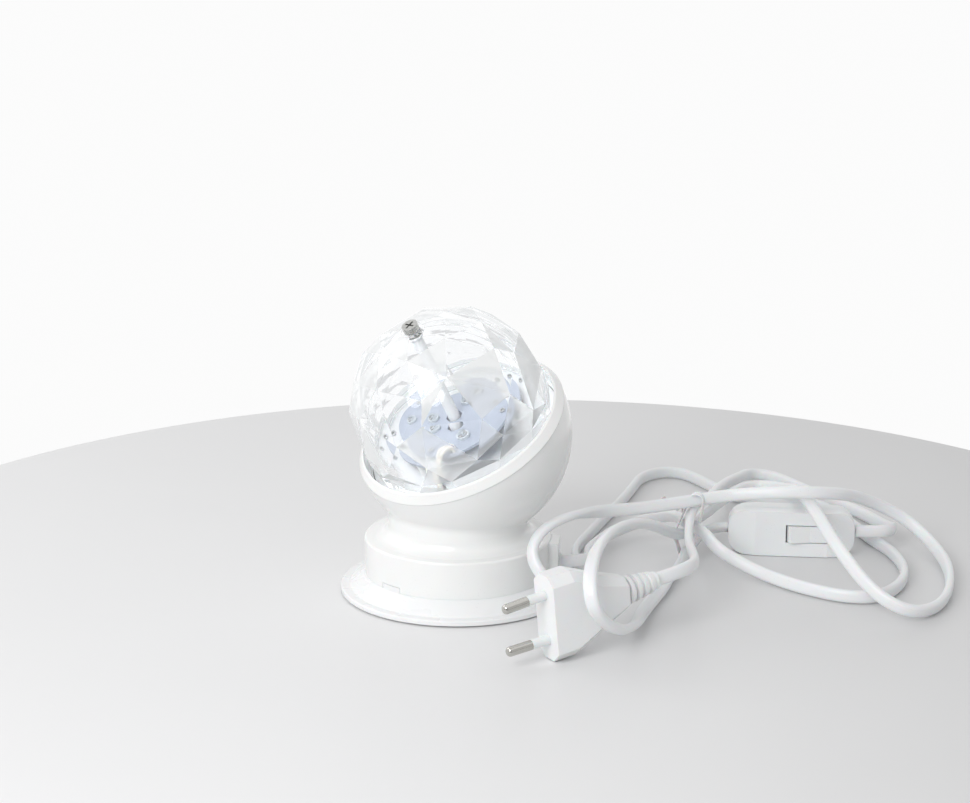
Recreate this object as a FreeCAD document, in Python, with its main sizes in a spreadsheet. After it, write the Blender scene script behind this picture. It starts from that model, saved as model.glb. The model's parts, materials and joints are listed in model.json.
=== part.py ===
import FreeCAD, Part
import math
import os
import re
import Sketcher
from FreeCAD import Placement, Rotation, Vector

# Disco light: a clear faceted dome turns on a bowl that leans on its round foot.
# World frame: +Z up, origin on the table under the middle of the foot, dome leaning towards -Y.
# Head frame: origin where the dome's axis crosses the foot's axis, +Z along the dome's axis.

os.makedirs("parts", exist_ok=True)
doc = FreeCAD.newDocument("disco_light")

# Driving dimensions, millimetres and degrees
SIZES = {
    # Whole lamp
    "lean_angle": 31, "neck_rise": 3.2, "wall": 2.0, "fit_gap": 0.3, "bearing_gap": 0.05,
    # Foot
    "base_radius": 50, "base_edge": 1.6, "base_bead": 3.6, "bead_height": 0.5, "seam_height": 8.0,
    "foot_lift": 0.5, "foot_radius": 5.0, "foot_thickness": 1.4, "foot_circle": 43.5, "foot_count": 4,
    "web_height": 4.0, "web_thickness": 1.8, "wall_hole_radius": 2.2, "wall_hole_spacing": 44,
    # Drum and neck
    "drum_radius": 39.7, "drum_height": 15.7, "drum_round": 1.0, "neck_radius": 29.6, "neck_round": 5.6,
    "neck_blend": 4.0,
    # Snap tabs between drum and foot
    "tab_width": 10.4, "tab_height": 2.4, "tab_depth": 1.1, "finger_height": 13.2, "finger_thickness": 1.6,
    "finger_width": 9.0, "barb_depth": 1.0, "barb_height": 1.6,
    # Bowl and rim
    "bowl_radius": 45.9, "bowl_drop": 6.6, "rim_drop": 4.0, "rim_rise": 0.3, "rim_inset": 3.0,
    "rim_lip": 0.9, "rim_bead": 0.25, "rim_bead_height": 0.9, "spigot_depth": 5.3, "spigot_wall": 1.4,
    # Deck inside the rim
    "deck_drop": 8.6, "deck_thickness": 1.8, "deck_post_inset": 9.9, "deck_post_radius": 3.2,
    "deck_hole": 6.6, "lead_hole": 2.6,
    # Screws
    "lead_x": 10.5, "lead_y": -28.5,
    "screw_radius": 1.2, "screw_length": 9.0, "screw_head": 2.5, "screw_head_height": 1.5,
    "small_screw_radius": 0.9, "small_screw_length": 5.0, "small_screw_head": 1.8,
    "small_head_height": 1.1,
    # Dome
    "dome_inset": 4.2, "dome_rise": 10.0, "dome_skirt": 12.6, "dome_wall": 1.3, "facet_depth": 1.7,
    "dome_cap_radius": 4.6, "dome_cap_drop": 0.5, "dome_seat_drop": 0.9,
    # Post and dome screw
    "post_top_radius": 2.7, "post_base_radius": 3.8, "post_foot_drop": 14.4, "boss_radius": 3.5,
    "boss_length": 2.0, "dome_screw_head": 3.4, "dome_screw_head_height": 2.6,
    # Board with the light emitters
    "board_radius": 25.5, "board_thickness": 1.6, "board_height": 0.0, "board_hole": 5.2,
    "board_screw_circle": 21.5, "emitter_circle": 14.5, "emitter_radius": 4.0, "emitter_height": 1.8,
    "lens_radius": 2.9, "emitter_count": 3,
    # Motor
    "motor_radius": 24.6, "motor_drop": 16.6, "motor_height": 17.0, "motor_wall": 0.8,
    "cover_thickness": 1.0, "ear_circle": 29.0, "ear_radius": 4.2, "collar_wall": 2.0,
    "coil_height": 6.4, "coil_inner": 11.6, "coil_wall": 1.0, "rotor_radius": 9.4, "rotor_length": 5.4,
    "gear_plate_thickness": 0.8, "pin_radius": 0.8, "hub_radius": 4.0,
    "shaft_radius": 2.0, "shaft_top_drop": 1.0, "pinion_clear": 3.2, "rotor_hub": 3.0,
    # Gears
    "gear_module": 0.45, "pinion_teeth": 9, "idler_teeth": 45, "idler_pinion_teeth": 10,
    "idler_width": 1.5, "output_width": 2.4, "axial_gap": 0.3,
    # Driver board
    "driver_length": 60, "driver_width": 24, "driver_thickness": 1.6, "driver_height": 15.0,
    "driver_shift": 8.0, "driver_screw_margin": 6, "driver_post_radius": 2.8,
    "capacitor_length": 18, "capacitor_width": 7.5, "capacitor_height": 11.5, "can_radius": 4.0,
    "can_height": 9.5, "terminal_length": 10, "terminal_width": 8, "terminal_height": 9,
    # Cord outlet, clamp and cord
    "outlet_angle": 38, "outlet_width": 14.0, "outlet_depth": 3.5, "outlet_top": 22.5,
    "cord_height": 12.6, "cord_radius": 2.5, "bush_wall": 0.9, "clamp_depth": 8.0, "clamp_thickness": 2.4,
    "clamp_screw_spacing": 12.6, "clamp_inset": 1.5, "core_radius": 1.0, "lead_radius": 1.0,
    # In-line switch
    "switch_length": 56, "switch_height": 20.4, "switch_depth": 15.0, "switch_end_depth": 8.4,
    "switch_taper": 12.0, "switch_corner": 7.5, "switch_wall": 1.6, "rocker_length": 17.2,
    "rocker_width": 7.5, "rocker_shift": 7.5, "rocker_proud": 0.3, "rocker_rise": 0.8,
    "rocker_tilt": 8, "rocker_pin_radius": 0.9,
    "rocker_pin_depth": 3.4, "rocker_foot": 1.2, "contact_thickness": 2.0, "switch_cord_height": 10.5,
    "switch_turn": 38, "switch_core_offset": 1.3,
    # Plug
    "plug_height": 35.3, "plug_depth": 13.7, "plug_cheek": 10, "plug_body_length": 36, "plug_length": 52,
    "plug_neck_height": 13.5, "plug_neck_depth": 11.0, "pin_length": 19, "plug_pin_radius": 2.0,
    "pin_spacing": 18.6, "pin_lean": 1.66, "pin_sleeve_length": 8.0, "pin_core_radius": 1.3,
    "plug_turn": 76, "plug_pitch": 6, "boot_radius": 6.0, "boot_end_radius": 4.6, "boot_ribs": 4,
    # Cord tie
    "tie_gap": 0.7, "tie_width": 1.8, "tie_thickness": 0.7, "tie_half_width": 7.4, "tie_top": 31.3,
    "tie_turn": 25,
}

# Sizes that follow from the driving ones: the names added up, then the names taken away
FOLLOWING = {
    "pivot_height": (("seam_height", "drum_height", "bowl_radius", "neck_rise"), ()),
    "rim_bore": (("bowl_radius",), ("rim_inset",)),
    "deck_post_circle": (("bowl_radius",), ("deck_post_inset",)),
    "dome_radius": (("bowl_radius",), ("dome_inset",)),
    "driver_screw_spacing": (("driver_length",), ("driver_screw_margin",)),
    "outlet_reach": (("drum_radius", "outlet_depth"), ()),
}

sheet = doc.addObject("Spreadsheet::Sheet", "size")
for row, (name, value) in enumerate(SIZES.items(), 1):
    sheet.set("A%d" % row, name)
    sheet.set("B%d" % row, str(value))
    sheet.setAlias("B%d" % row, name)
doc.recompute()


def size(name):
    """A driving dimension read from the sheet, or one that follows from those."""
    if name in FOLLOWING:
        added, taken = FOLLOWING[name]
        return sum(size(item) for item in added) - sum(size(item) for item in taken)
    return float(sheet.get(name))


def rule(text):
    """An expression with each driving dimension's name pointed at the sheet."""
    def pointed(word):
        name = word[0]
        if name not in FOLLOWING:
            return "size." + name if name in SIZES else name
        added, taken = FOLLOWING[name]
        return "(" + " + ".join("size." + item for item in added) + "".join(" - size." + item for item in taken) + ")"

    return re.sub(r"[a-z_]+", pointed, str(text))


def tie(item, prop, text):
    item.setExpression(prop, rule(text))


def place(item, x=0, y=0, z=0, turn=0):
    """Put an item at x, y, z, turned about its upright axis; each value may be an expression."""
    item.Placement = Placement(Vector(0, 0, 0), Rotation(Vector(0, 0, 1), 1))
    tie(item, "Placement.Base.x", x)
    tie(item, "Placement.Base.y", y)
    tie(item, "Placement.Base.z", z)
    tie(item, "Placement.Rotation.Angle", turn)
    return item


def lean(item):
    """Stand an item drawn in the head frame on the leaning dome axis; a primitive keeps its own place."""
    if item.TypeId in ("Part::Cylinder", "Part::Box", "Part::Sphere", "Part::Cone"):
        held = doc.addObject("Part::Compound", item.Name + "_held")
        held.Links = [item]
        item = held
    item.Placement = Placement(Vector(0, 0, 0), Rotation(Vector(1, 0, 0), 1))
    tie(item, "Placement.Base.z", "pivot_height")
    tie(item, "Placement.Rotation.Angle", "lean_angle")
    return item


def cylinder(name, radius, height, x=0, y=0, z=0):
    item = doc.addObject("Part::Cylinder", name)
    tie(item, "Radius", radius)
    tie(item, "Height", height)
    return place(item, x, y, z)


def ball(name, radius, z):
    item = doc.addObject("Part::Sphere", name)
    tie(item, "Radius", radius)
    return place(item, 0, 0, z)


def block(name, length, width, height, x=0, y=0, z=0, turn=0):
    """A box centred on x and y, standing on z, then turned about the upright axis through the origin."""
    item = doc.addObject("Part::Box", name)
    tie(item, "Length", length)
    tie(item, "Width", width)
    tie(item, "Height", height)
    corner_x = "((%s) - (%s) / 2)" % (x, length)
    corner_y = "((%s) - (%s) / 2)" % (y, width)
    turned_x = "%s * cos(%s) - %s * sin(%s)" % (corner_x, turn, corner_y, turn)
    turned_y = "%s * sin(%s) + %s * cos(%s)" % (corner_x, turn, corner_y, turn)
    return place(item, turned_x, turned_y, z, turn)


def fuse(name, *items):
    item = doc.addObject("Part::MultiFuse", name)
    item.Shapes = list(items)
    return item


def cut(name, base, *tools):
    item = doc.addObject("Part::Cut", name)
    item.Base = base
    item.Tool = tools[0] if len(tools) == 1 else fuse(name + "_tools", *tools)
    return item


def common(name, first, second):
    item = doc.addObject("Part::MultiCommon", name)
    item.Shapes = [first, second]
    return item


def tube(name, outer, inner, height, z=0):
    return cut(name, cylinder(name + "_outer", outer, height, 0, 0, z),
               cylinder(name + "_inner", inner, "(%s) + 2" % height, 0, 0, "(%s) - 1" % z))


def ring_of(name, make, count, circle, start=0):
    """Copies of make(name, x, y, azimuth), evenly spaced on a circle, as one group."""
    copies = []
    for index in range(count):
        azimuth = start + index * 360.0 / count
        x = "(%s) * cos(%s)" % (circle, azimuth)
        y = "(%s) * sin(%s)" % (circle, azimuth)
        copies.append(make("%s_%d" % (name, index), x, y, azimuth))
    return copies


def turned(name, corners):
    """A body turned about the upright axis from straight corners (radius, height)."""
    body = doc.addObject("PartDesign::Body", name)
    sketch = body.newObject("Sketcher::SketchObject", name + "_section")
    plane = [item for item in body.Origin.OriginFeatures if item.Role == "XZ_Plane"][0]
    sketch.AttachmentSupport = [(plane, "")]
    sketch.MapMode = "FlatFace"
    values = [(evaluate(radius), evaluate(height)) for radius, height in corners]
    count = len(corners)
    for index in range(count):
        start = Vector(*values[index], 0)
        end = Vector(*values[(index + 1) % count], 0)
        sketch.addGeometry(Part.LineSegment(start, end))
    for index in range(count):
        sketch.addConstraint(Sketcher.Constraint("Coincident", index, 2, (index + 1) % count, 1))
    for index, (radius, height) in enumerate(corners):
        for kind, axis, text, value in (("DistanceX", -2, radius, values[index][0]),
                                        ("DistanceY", -1, height, values[index][1])):
            if str(text) == "0":
                sketch.addConstraint(Sketcher.Constraint("PointOnObject", index, 1, axis))
                continue
            number = sketch.addConstraint(Sketcher.Constraint(kind, -1, 1, index, 1, value))
            tie(sketch, "Constraints[%d]" % number, text)
    turn = body.newObject("PartDesign::Revolution", name + "_turn")
    turn.Profile = sketch
    turn.ReferenceAxis = (sketch, ["V_Axis"])
    turn.Angle = 360
    return body


def evaluate(text):
    """The value that an expression has in the sheet."""
    sheet.set("D1", "=" + re.sub(r"size\.", "", rule(text)))
    doc.recompute([sheet])
    return float(sheet.get("D1"))



NODES = []


def node(name, item, leaning=False):
    """Keep an item as a named piece of the lamp, stood on the dome's axis if it is in the head frame."""
    if leaning:
        item = lean(item)
    item.Label = name
    NODES.append(item)
    return item


# Foot: a dished plate with a beaded flange, snap fingers, tabs and two holes for wall screws
def make_base_plate():
    top = "seam_height"
    outline = [
        (0, "web_height"), ("drum_radius - wall * 2.5", "web_height"),
        ("drum_radius - wall * 2", "foot_lift"), ("base_radius", "foot_lift"),
        ("base_radius", "foot_lift + base_edge"), ("base_radius - 0.5",
            "foot_lift + base_edge + bead_height"),
        ("base_radius - base_bead", "foot_lift + base_edge + bead_height"),
        ("base_radius - base_bead - 0.8", "foot_lift + base_edge + bead_height + 0.9"),
        ("drum_radius + 0.4", top + " - 0.6"), ("drum_radius - 0.1", top), ("drum_radius - wall * 1.6",
            top),
        ("drum_radius - wall * 2", "web_height + web_thickness"), (0, "web_height + web_thickness"),
    ]
    plate = turned("base_dish", outline)
    low = "web_height + web_thickness - 0.5"
    inside = "drum_radius - wall - fit_gap"
    extras = []
    for side in (90, 270):
        finger = block("finger_%d" % side, "finger_thickness", "finger_width",
                       "finger_height - web_height - web_thickness + 0.5",
                       inside + " - finger_thickness / 2", 0, low, side)
        barb = block("barb_%d" % side, "finger_thickness + barb_depth", "finger_width", "barb_height",
                     inside + " - finger_thickness / 2 + barb_depth / 2", 0,
                     "finger_height - barb_height", side)
        tab = common("tab_%d" % side,
                     block("tab_block_%d" % side, "8", "tab_width - fit_gap",
                         "tab_height - fit_gap / 2 + 0.5",
                           "drum_radius - 3.9", 0, "seam_height - 0.5", side),
                     tube("tab_ring_%d" % side, "drum_radius", "drum_radius - tab_depth + fit_gap",
                          "tab_height + 2", "seam_height - 1"))
        extras += [finger, barb, tab]
    solid = fuse("base_solid", plate, *extras)
    feet = ring_of("foot_seat", lambda name, x, y, azimuth: cylinder(
        name, "foot_radius + fit_gap / 2", "foot_thickness + 1", x, y, "-1"), int(size("foot_count")),
        "foot_circle", 45)
    holes = [cylinder("wall_hole_%d" % side, "wall_hole_radius", "20",
        "%d * wall_hole_spacing / 2" % side, 0,
                      "-1") for side in (-1, 1)]
    slot = block("outlet_relief", "clamp_depth + wall * 2 + 3.5",
        "clamp_screw_spacing + screw_head * 2 + 1.5", "10",
                 "outlet_reach - clamp_depth / 2 - wall + 0.2", 0, "seam_height - 1.2", "outlet_angle")
    node("base_plate", cut("base_plate", solid, slot, *feet, *holes))
    pads = ring_of("foot", lambda name, x, y, azimuth: cylinder(
        name, "foot_radius", "foot_thickness", x, y, 0), int(size("foot_count")), "foot_circle", 45)
    node("rubber_feet", fuse("rubber_feet", *pads))


# Housing: drum, neck and bowl in one shell, with posts, clamp seat and cord outlet
def make_pedestal():
    """The drum and neck as one turned solid with a hollow curve between them."""
    drum, edge, neck, curve = (size(name) for name in ("drum_radius", "drum_round", "neck_radius",
        "neck_round"))
    low = size("seam_height")
    top = low + size("drum_height")
    inside_bowl = size("pivot_height") - size("bowl_radius") * 0.4
    half = math.sqrt(0.5)

    def at(radius, height):
        return Vector(radius, 0, height)

    edges = [
        Part.LineSegment(at(0, low), at(drum, low)),
        Part.LineSegment(at(drum, low), at(drum, top - edge)),
        Part.Arc(at(drum, top - edge), at(drum - edge + edge * half, top - edge + edge * half),
                 at(drum - edge, top)),
        Part.LineSegment(at(drum - edge, top), at(neck + curve, top)),
        Part.Arc(at(neck + curve, top), at(neck + curve - curve * half, top + curve - curve * half),
                 at(neck, top + curve)),
        Part.LineSegment(at(neck, top + curve), at(neck, inside_bowl)),
        Part.LineSegment(at(neck, inside_bowl), at(0, inside_bowl)),
        Part.LineSegment(at(0, inside_bowl), at(0, low)),
    ]
    wire = Part.Wire([edge_curve.toShape() for edge_curve in edges])
    solid = Part.Face(wire).revolve(Vector(0, 0, 0), Vector(0, 0, 1), 360)
    solid.rotate(Vector(0, 0, 0), Vector(0, 0, 1), 90)
    return solid


def make_outer_skin():
    """Pedestal and bowl joined, with the sharp line where the neck meets the bowl rounded out."""
    lean_turn = Rotation(Vector(1, 0, 0), size("lean_angle"))
    centre = Vector(0, 0, size("pivot_height")) + lean_turn.multVec(Vector(0, 0, -size("bowl_drop")))
    bowl = Part.makeSphere(size("bowl_radius"), centre)
    bowl.rotate(centre, Vector(0, 0, 1), 90)
    joined = bowl.fuse(make_pedestal())
    low = size("seam_height") + size("drum_height") + size("neck_round") * 0.5
    crease = [edge for edge in joined.Edges
              if edge.BoundBox.ZMin > low and edge.BoundBox.ZMax < centre.z and edge.BoundBox.ZLength > 1
              and edge.Length > size("neck_radius")]
    item = doc.addObject("Part::Feature", "outer_skin")
    item.Shape = joined.makeFillet(size("neck_blend"), crease)
    return item


def make_housing():
    skin = make_outer_skin()
    mouth = lean(block("mouth_cut", "bowl_radius * 3", "bowl_radius * 3", "bowl_radius * 2", 0, 0,
        "-rim_drop"))
    bowl_inside = lean(ball("bowl_inside", "bowl_radius - wall", "-bowl_drop"))
    neck_inside = cylinder("neck_inside", "neck_radius - wall", "pivot_height - bowl_radius * 0.6", 0, 0, 0)
    drum_inside = cylinder("drum_inside", "drum_radius - wall", "seam_height + drum_height - wall", 0, 0, 0)
    shell = cut("shell", skin, mouth, bowl_inside, neck_inside, drum_inside)

    deck_posts = lean(fuse("deck_posts", *ring_of("deck_post", lambda name, x, y, azimuth: cylinder(
        name, "deck_post_radius", "bowl_radius", x, y, "-deck_drop - deck_thickness - bowl_radius"), 3,
        "deck_post_circle", 90)))
    driver_posts = fuse("driver_posts", *[cylinder(
        "driver_post_%d" % side, "driver_post_radius", "16", "%d * driver_screw_spacing / 2" % side,
        "-driver_shift", "driver_height + driver_thickness") for side in (-1, 1)])
    clamp_seat = block("clamp_seat", "clamp_depth + wall", "clamp_screw_spacing + screw_head * 2", "14",
                       "drum_radius - wall / 2 - clamp_depth / 2 - 0.5", 0, "cord_height + cord_radius",
                       "outlet_angle")
    inner_parts = common("inner_parts", fuse("inner_blocks", deck_posts, driver_posts, clamp_seat),
                         cut("room", make_room(), mouth))
    outlet = block("outlet_block", "8", "outlet_width", "outlet_top - seam_height", "outlet_reach - 4", 0,
                   "seam_height", "outlet_angle")
    outlet_body = cut("outlet", outlet, cylinder("drum_core", "drum_radius - wall / 2", "40"))
    body = fuse("housing_body", shell, inner_parts, outlet_body)

    tools = [radial_hole("cord_hole", "cord_radius + bush_wall", "drum_radius - wall * 2",
                         "wall * 2 + 8")]
    for side in (90, 270):
        notch = cut("notch_%d" % side,
                    block("notch_block_%d" % side, "8", "tab_width", "tab_height + 1", "drum_radius + 2", 0,
                          "seam_height - 1", side),
                    cylinder("notch_core_%d" % side, "drum_radius - tab_depth", "20", 0, 0, 0))
        tools.append(notch)
        tools.append(block("window_%d" % side, "wall", "finger_width + fit_gap * 2",
                           "barb_height + fit_gap * 2",
                           "drum_radius - wall + barb_depth + fit_gap - wall / 2", 0,
                           "finger_height - barb_height - fit_gap", side))
    pilots = lean(fuse("deck_pilots", *ring_of("deck_pilot", lambda name, x, y, azimuth: cylinder(
        name, "screw_radius", "screw_length + 1", x, y,
        "-deck_drop - screw_length"), 3, "deck_post_circle", 90)))
    tools.append(pilots)
    for side in (-1, 1):
        tools.append(cylinder("driver_pilot_%d" % side, "small_screw_radius", "small_screw_length + 1",
                              "%d * driver_screw_spacing / 2" % side, "-driver_shift", "driver_height - 1"))
        tools.append(turned_place(cylinder("clamp_pilot_%d" % side, "screw_radius", "screw_length + 3"),
                                  "drum_radius - wall - clamp_inset - clamp_depth / 2",
                                  "%d * clamp_screw_spacing / 2" % side,
                                  "cord_height - cord_radius - clamp_thickness", "outlet_angle"))
    node("housing", cut("housing", body, *tools))


def make_room():
    """All the space inside the outer skin, a little short of its surface."""
    inner_ball = lean(ball("room_ball", "bowl_radius - wall / 2", "-bowl_drop"))
    inner_neck = cylinder("room_neck", "neck_radius - wall / 2", "pivot_height - bowl_radius * 0.6")
    inner_drum = cylinder("room_drum", "drum_radius - wall / 2", "seam_height + drum_height - wall / 2")
    return fuse("room_space", inner_ball, inner_neck, inner_drum)


def turned_place(item, x, y, z, turn):
    """Place an item at x, y measured along and across the direction at the angle turn."""
    return place(item, "(%s) * cos(%s) - (%s) * sin(%s)" % (x, turn, y, turn),
                 "(%s) * sin(%s) + (%s) * cos(%s)" % (x, turn, y, turn), z, turn)


def radial_hole(name, radius, start, length):
    """A level cylinder that points outwards through the drum at the cord outlet."""
    item = doc.addObject("Part::Cylinder", name)
    tie(item, "Radius", radius)
    tie(item, "Height", length)
    angle = math.radians(size("outlet_angle"))
    outwards = Vector(math.cos(angle), math.sin(angle), 0)
    item.Placement = Placement(Vector(0, 0, 0), Rotation(Vector(0, 0, 1), outwards))
    tie(item, "Placement.Base.x", "(%s) * cos(outlet_angle)" % start)
    tie(item, "Placement.Base.y", "(%s) * sin(outlet_angle)" % start)
    tie(item, "Placement.Base.z", "cord_height")
    return item


# Rim ring with a spigot inside the bowl, and the deck that closes the bowl below the dome
def make_rim_and_deck():
    outline = [
        ("rim_bore", "rim_rise"), ("rim_bore", "-deck_drop"),
        ("bowl_radius - wall - fit_gap - spigot_wall", "-deck_drop"),
        ("bowl_radius - wall - fit_gap - spigot_wall", "-rim_drop - spigot_depth"),
        ("bowl_radius - wall - fit_gap", "-rim_drop - spigot_depth"),
        ("bowl_radius - wall - fit_gap", "-rim_drop"), ("bowl_radius", "-rim_drop"),
        ("bowl_radius + rim_bead", "-rim_drop + rim_bead_height / 2"),
        ("bowl_radius", "-rim_drop + rim_bead_height"), ("rim_bore + rim_lip", "rim_rise - rim_lip / 2"),
    ]
    node("rim_ring", turned("rim_ring", outline), leaning=True)

    plate = cylinder("deck_plate", "bowl_radius - wall - fit_gap * 2 - spigot_wall", "deck_thickness", 0, 0,
                     "-deck_drop - deck_thickness")
    ear_posts = [cylinder("ear_post_%d" % side, "ear_radius - 0.6",
                          "motor_drop - deck_drop - deck_thickness + 0.5", "%d * ear_circle" % side, 0,
                          "-motor_drop") for side in (-1, 1)]
    board_posts = ring_of("board_post", lambda name, x, y, azimuth: cylinder(
        name, "small_screw_head + 0.6", "deck_drop + board_height", x, y, "-deck_drop - 0.5"), 3,
        "board_screw_circle", 30)
    shaft_hole = cylinder("deck_shaft_hole", "deck_hole", "10", 0, 0, "-deck_drop - 5")
    ear_pilots = [cylinder("ear_pilot_%d" % side, "small_screw_radius", "small_screw_length",
                           "%d * ear_circle" % side, 0, "-motor_drop - 0.1") for side in (-1, 1)]
    board_pilots = ring_of("board_pilot", lambda name, x, y, azimuth: cylinder(
        name, "small_screw_radius", "small_screw_length", x, y,
        "board_height + board_thickness - small_screw_length"), 3, "board_screw_circle", 30)
    screw_holes = ring_of("deck_screw_hole", lambda name, x, y, azimuth: cylinder(
        name, "screw_radius", "10", x, y, "-deck_drop - 5"), 3, "deck_post_circle", 90)
    lead_hole = cylinder("deck_lead_hole", "lead_hole", "10", "lead_x", "lead_y", "-deck_drop - 5")
    deck = cut("deck", fuse("deck_solid", plate, *ear_posts, *board_posts), shaft_hole, lead_hole,
               *ear_pilots, *board_pilots, *screw_holes)
    node("deck", deck, leaning=True)
    screws = ring_of("deck_screw", lambda name, x, y, azimuth: screw(
        name, "screw_radius", "screw_length", "screw_head", "screw_head_height", x, y, "-deck_drop"), 3,
        "deck_post_circle", 90)
    node("deck_screws", fuse("deck_screws", *screws), leaning=True)


def screw(name, radius, length, head_radius, head_height, x, y, seat, upside_down=False):
    """A pan-head screw with a crossed slot; seat is the height of the face its head presses."""
    direction = "-1" if upside_down else "1"
    low = seat if upside_down else "(%s) - (%s)" % (seat, length)
    head_low = "(%s) - (%s)" % (seat, head_height) if upside_down else seat
    shank = cylinder(name + "_shank", radius, length, x, y, low)
    head = cylinder(name + "_head", head_radius, head_height, x, y, head_low)
    slot_low = "(%s) + (%s) * (%s) * 0.5" % (seat, direction, head_height)
    if upside_down:
        slot_low = "(%s) - (%s)" % (slot_low, head_height)
    slots = []
    for turn in (0, 90):
        slot = block(name + "_slot_%d" % turn, "(%s) * 1.3" % head_radius, "(%s) * 0.25" % head_radius,
                     head_height, 0, 0, 0, turn)
        move(slot, x, y, slot_low)
        slots.append(slot)
    return cut(name, fuse(name + "_solid", shank, head), *slots)


def move(item, x, y, z):
    """Shift an item that was placed about the origin."""
    for axis, text in (("x", x), ("y", y), ("z", z)):
        held = [pair[1] for pair in item.ExpressionEngine if pair[0].lstrip(".") == "Placement.Base." + axis]
        item.setExpression("Placement.Base." + axis, "(%s) + (%s)" % (held[0] if held else "0", rule(text)))


# Clear dome: flat three-cornered facets outside, smooth inside, with a seat for its screw at the top
def dome_rings():
    """Rings of facet corners from the cap to the lower edge: (polar angle, count, turn, stagger)."""
    return [(23, 6, 0.10, 5), (45, 10, 0.45, 6), (67, 13, 0.15, 5), (90, 14, 0.60, 3), (101, 14, 0.10, 2)]


def facet_corners():
    radius = size("dome_radius")
    rise = size("dome_rise")
    rings = []
    for level, (polar, count, turn, stagger) in enumerate(dome_rings()):
        ring = []
        for index in range(count):
            wobble = math.sin(2.4 * index + 1.7 * level)
            azimuth = 2 * math.pi * (index + turn + 0.16 * wobble) / count
            tilt = math.radians(polar + stagger * math.sin(3.1 * index + 0.9 * level))
            ring.append(Vector(radius * math.sin(tilt) * math.cos(azimuth),
                               radius * math.sin(tilt) * math.sin(azimuth), rise + radius * math.cos(tilt)))
        rings.append(ring)
    low_count = 14
    low = []
    for index in range(low_count):
        azimuth = 2 * math.pi * (index + 0.05) / low_count
        low.append(Vector((radius - 0.6) * math.cos(azimuth), (radius - 0.6) * math.sin(azimuth),
                          rise - size("dome_skirt")))
    rings.append(low)
    return rings


def strip(upper, lower):
    """Triangles between two rings of points that may differ in number, walking round both by azimuth."""
    def azimuth(point):
        return math.atan2(point.y, point.x) % (2 * math.pi)

    upper = sorted(upper, key=azimuth)
    lower = sorted(lower, key=azimuth)
    triangles = []
    i = j = 0
    while i < len(upper) or j < len(lower):
        top = upper[i % len(upper)]
        bottom = lower[j % len(lower)]
        next_top = upper[(i + 1) % len(upper)]
        next_bottom = lower[(j + 1) % len(lower)]
        take_top = j >= len(lower) or (i < len(upper) and next_top.distanceToPoint(bottom)
                                       < next_bottom.distanceToPoint(top))
        if take_top:
            triangles.append((top, bottom, next_top))
            i += 1
        else:
            triangles.append((top, bottom, next_bottom))
            j += 1
    return triangles


def make_dome():
    rings = facet_corners()
    apex = Vector(0, 0, size("dome_rise") + size("dome_radius") + 0.4)
    floor = Vector(0, 0, size("dome_rise") - size("dome_skirt"))
    triangles = strip_fan(apex, rings[0])
    for upper, lower in zip(rings, rings[1:]):
        triangles += strip(upper, lower)
    triangles += strip_fan(floor, rings[-1])
    faces = [Part.Face(Part.makePolygon([*corners, corners[0]])) for corners in triangles]
    solid = Part.Solid(Part.makeShell(faces))
    if solid.Volume < 0:
        solid.reverse()
    inner_radius = size("dome_radius") - size("facet_depth") - size("dome_wall")
    middle = Vector(0, 0, size("dome_rise"))
    hollow = Part.makeSphere(inner_radius, middle)
    skirt = Part.makeCylinder(inner_radius, size("dome_skirt") + 2,
                              Vector(0, 0, size("dome_rise") - size("dome_skirt") - 2))
    top = size("dome_rise") + size("dome_radius") - size("dome_seat_drop")
    cap_low = size("dome_rise") + inner_radius - size("dome_cap_drop")
    cap = Part.makeCylinder(size("dome_cap_radius"), top - cap_low, Vector(0, 0, cap_low))
    seat = Part.makeCylinder(size("dome_cap_radius"), 5, Vector(0, 0, top))
    bore = Part.makeCylinder(size("screw_radius"), 20, Vector(0, 0, top - 12))
    shell = solid.cut(hollow.fuse(skirt)).fuse(cap.common(solid)).cut(seat).cut(bore)
    item = doc.addObject("Part::Feature", "dome")
    item.Shape = shell.removeSplitter()
    node("dome", item, leaning=True)


def strip_fan(tip, ring):
    ring = sorted(ring, key=lambda point: math.atan2(point.y, point.x))
    return [(tip, point, ring[(index + 1) % len(ring)]) for index, point in enumerate(ring)]


# Turning post and dome screw
def make_post_and_screw():
    seat = "dome_rise + dome_radius - dome_seat_drop"
    top = "dome_rise + dome_radius - facet_depth - dome_wall - dome_cap_drop"
    bore = seat + " - screw_length * 1.3"
    outline = [
        ("shaft_radius", "-post_foot_drop"), ("post_base_radius", "-post_foot_drop"),
        ("post_base_radius", "board_height + board_thickness + 3"),
        ("post_top_radius", top + " - boss_length"), ("boss_radius", top + " - boss_length + 0.6"),
        ("boss_radius", top), ("screw_radius", top), ("screw_radius", bore), (0, bore),
        (0, "-shaft_top_drop"), ("shaft_radius", "-shaft_top_drop"),
    ]
    node("dome_post", turned("dome_post", outline), leaning=True)
    node("dome_screw", screw("dome_screw", "screw_radius", "screw_length * 1.3", "dome_screw_head",
                             "dome_screw_head_height", 0, 0, seat), leaning=True)


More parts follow.
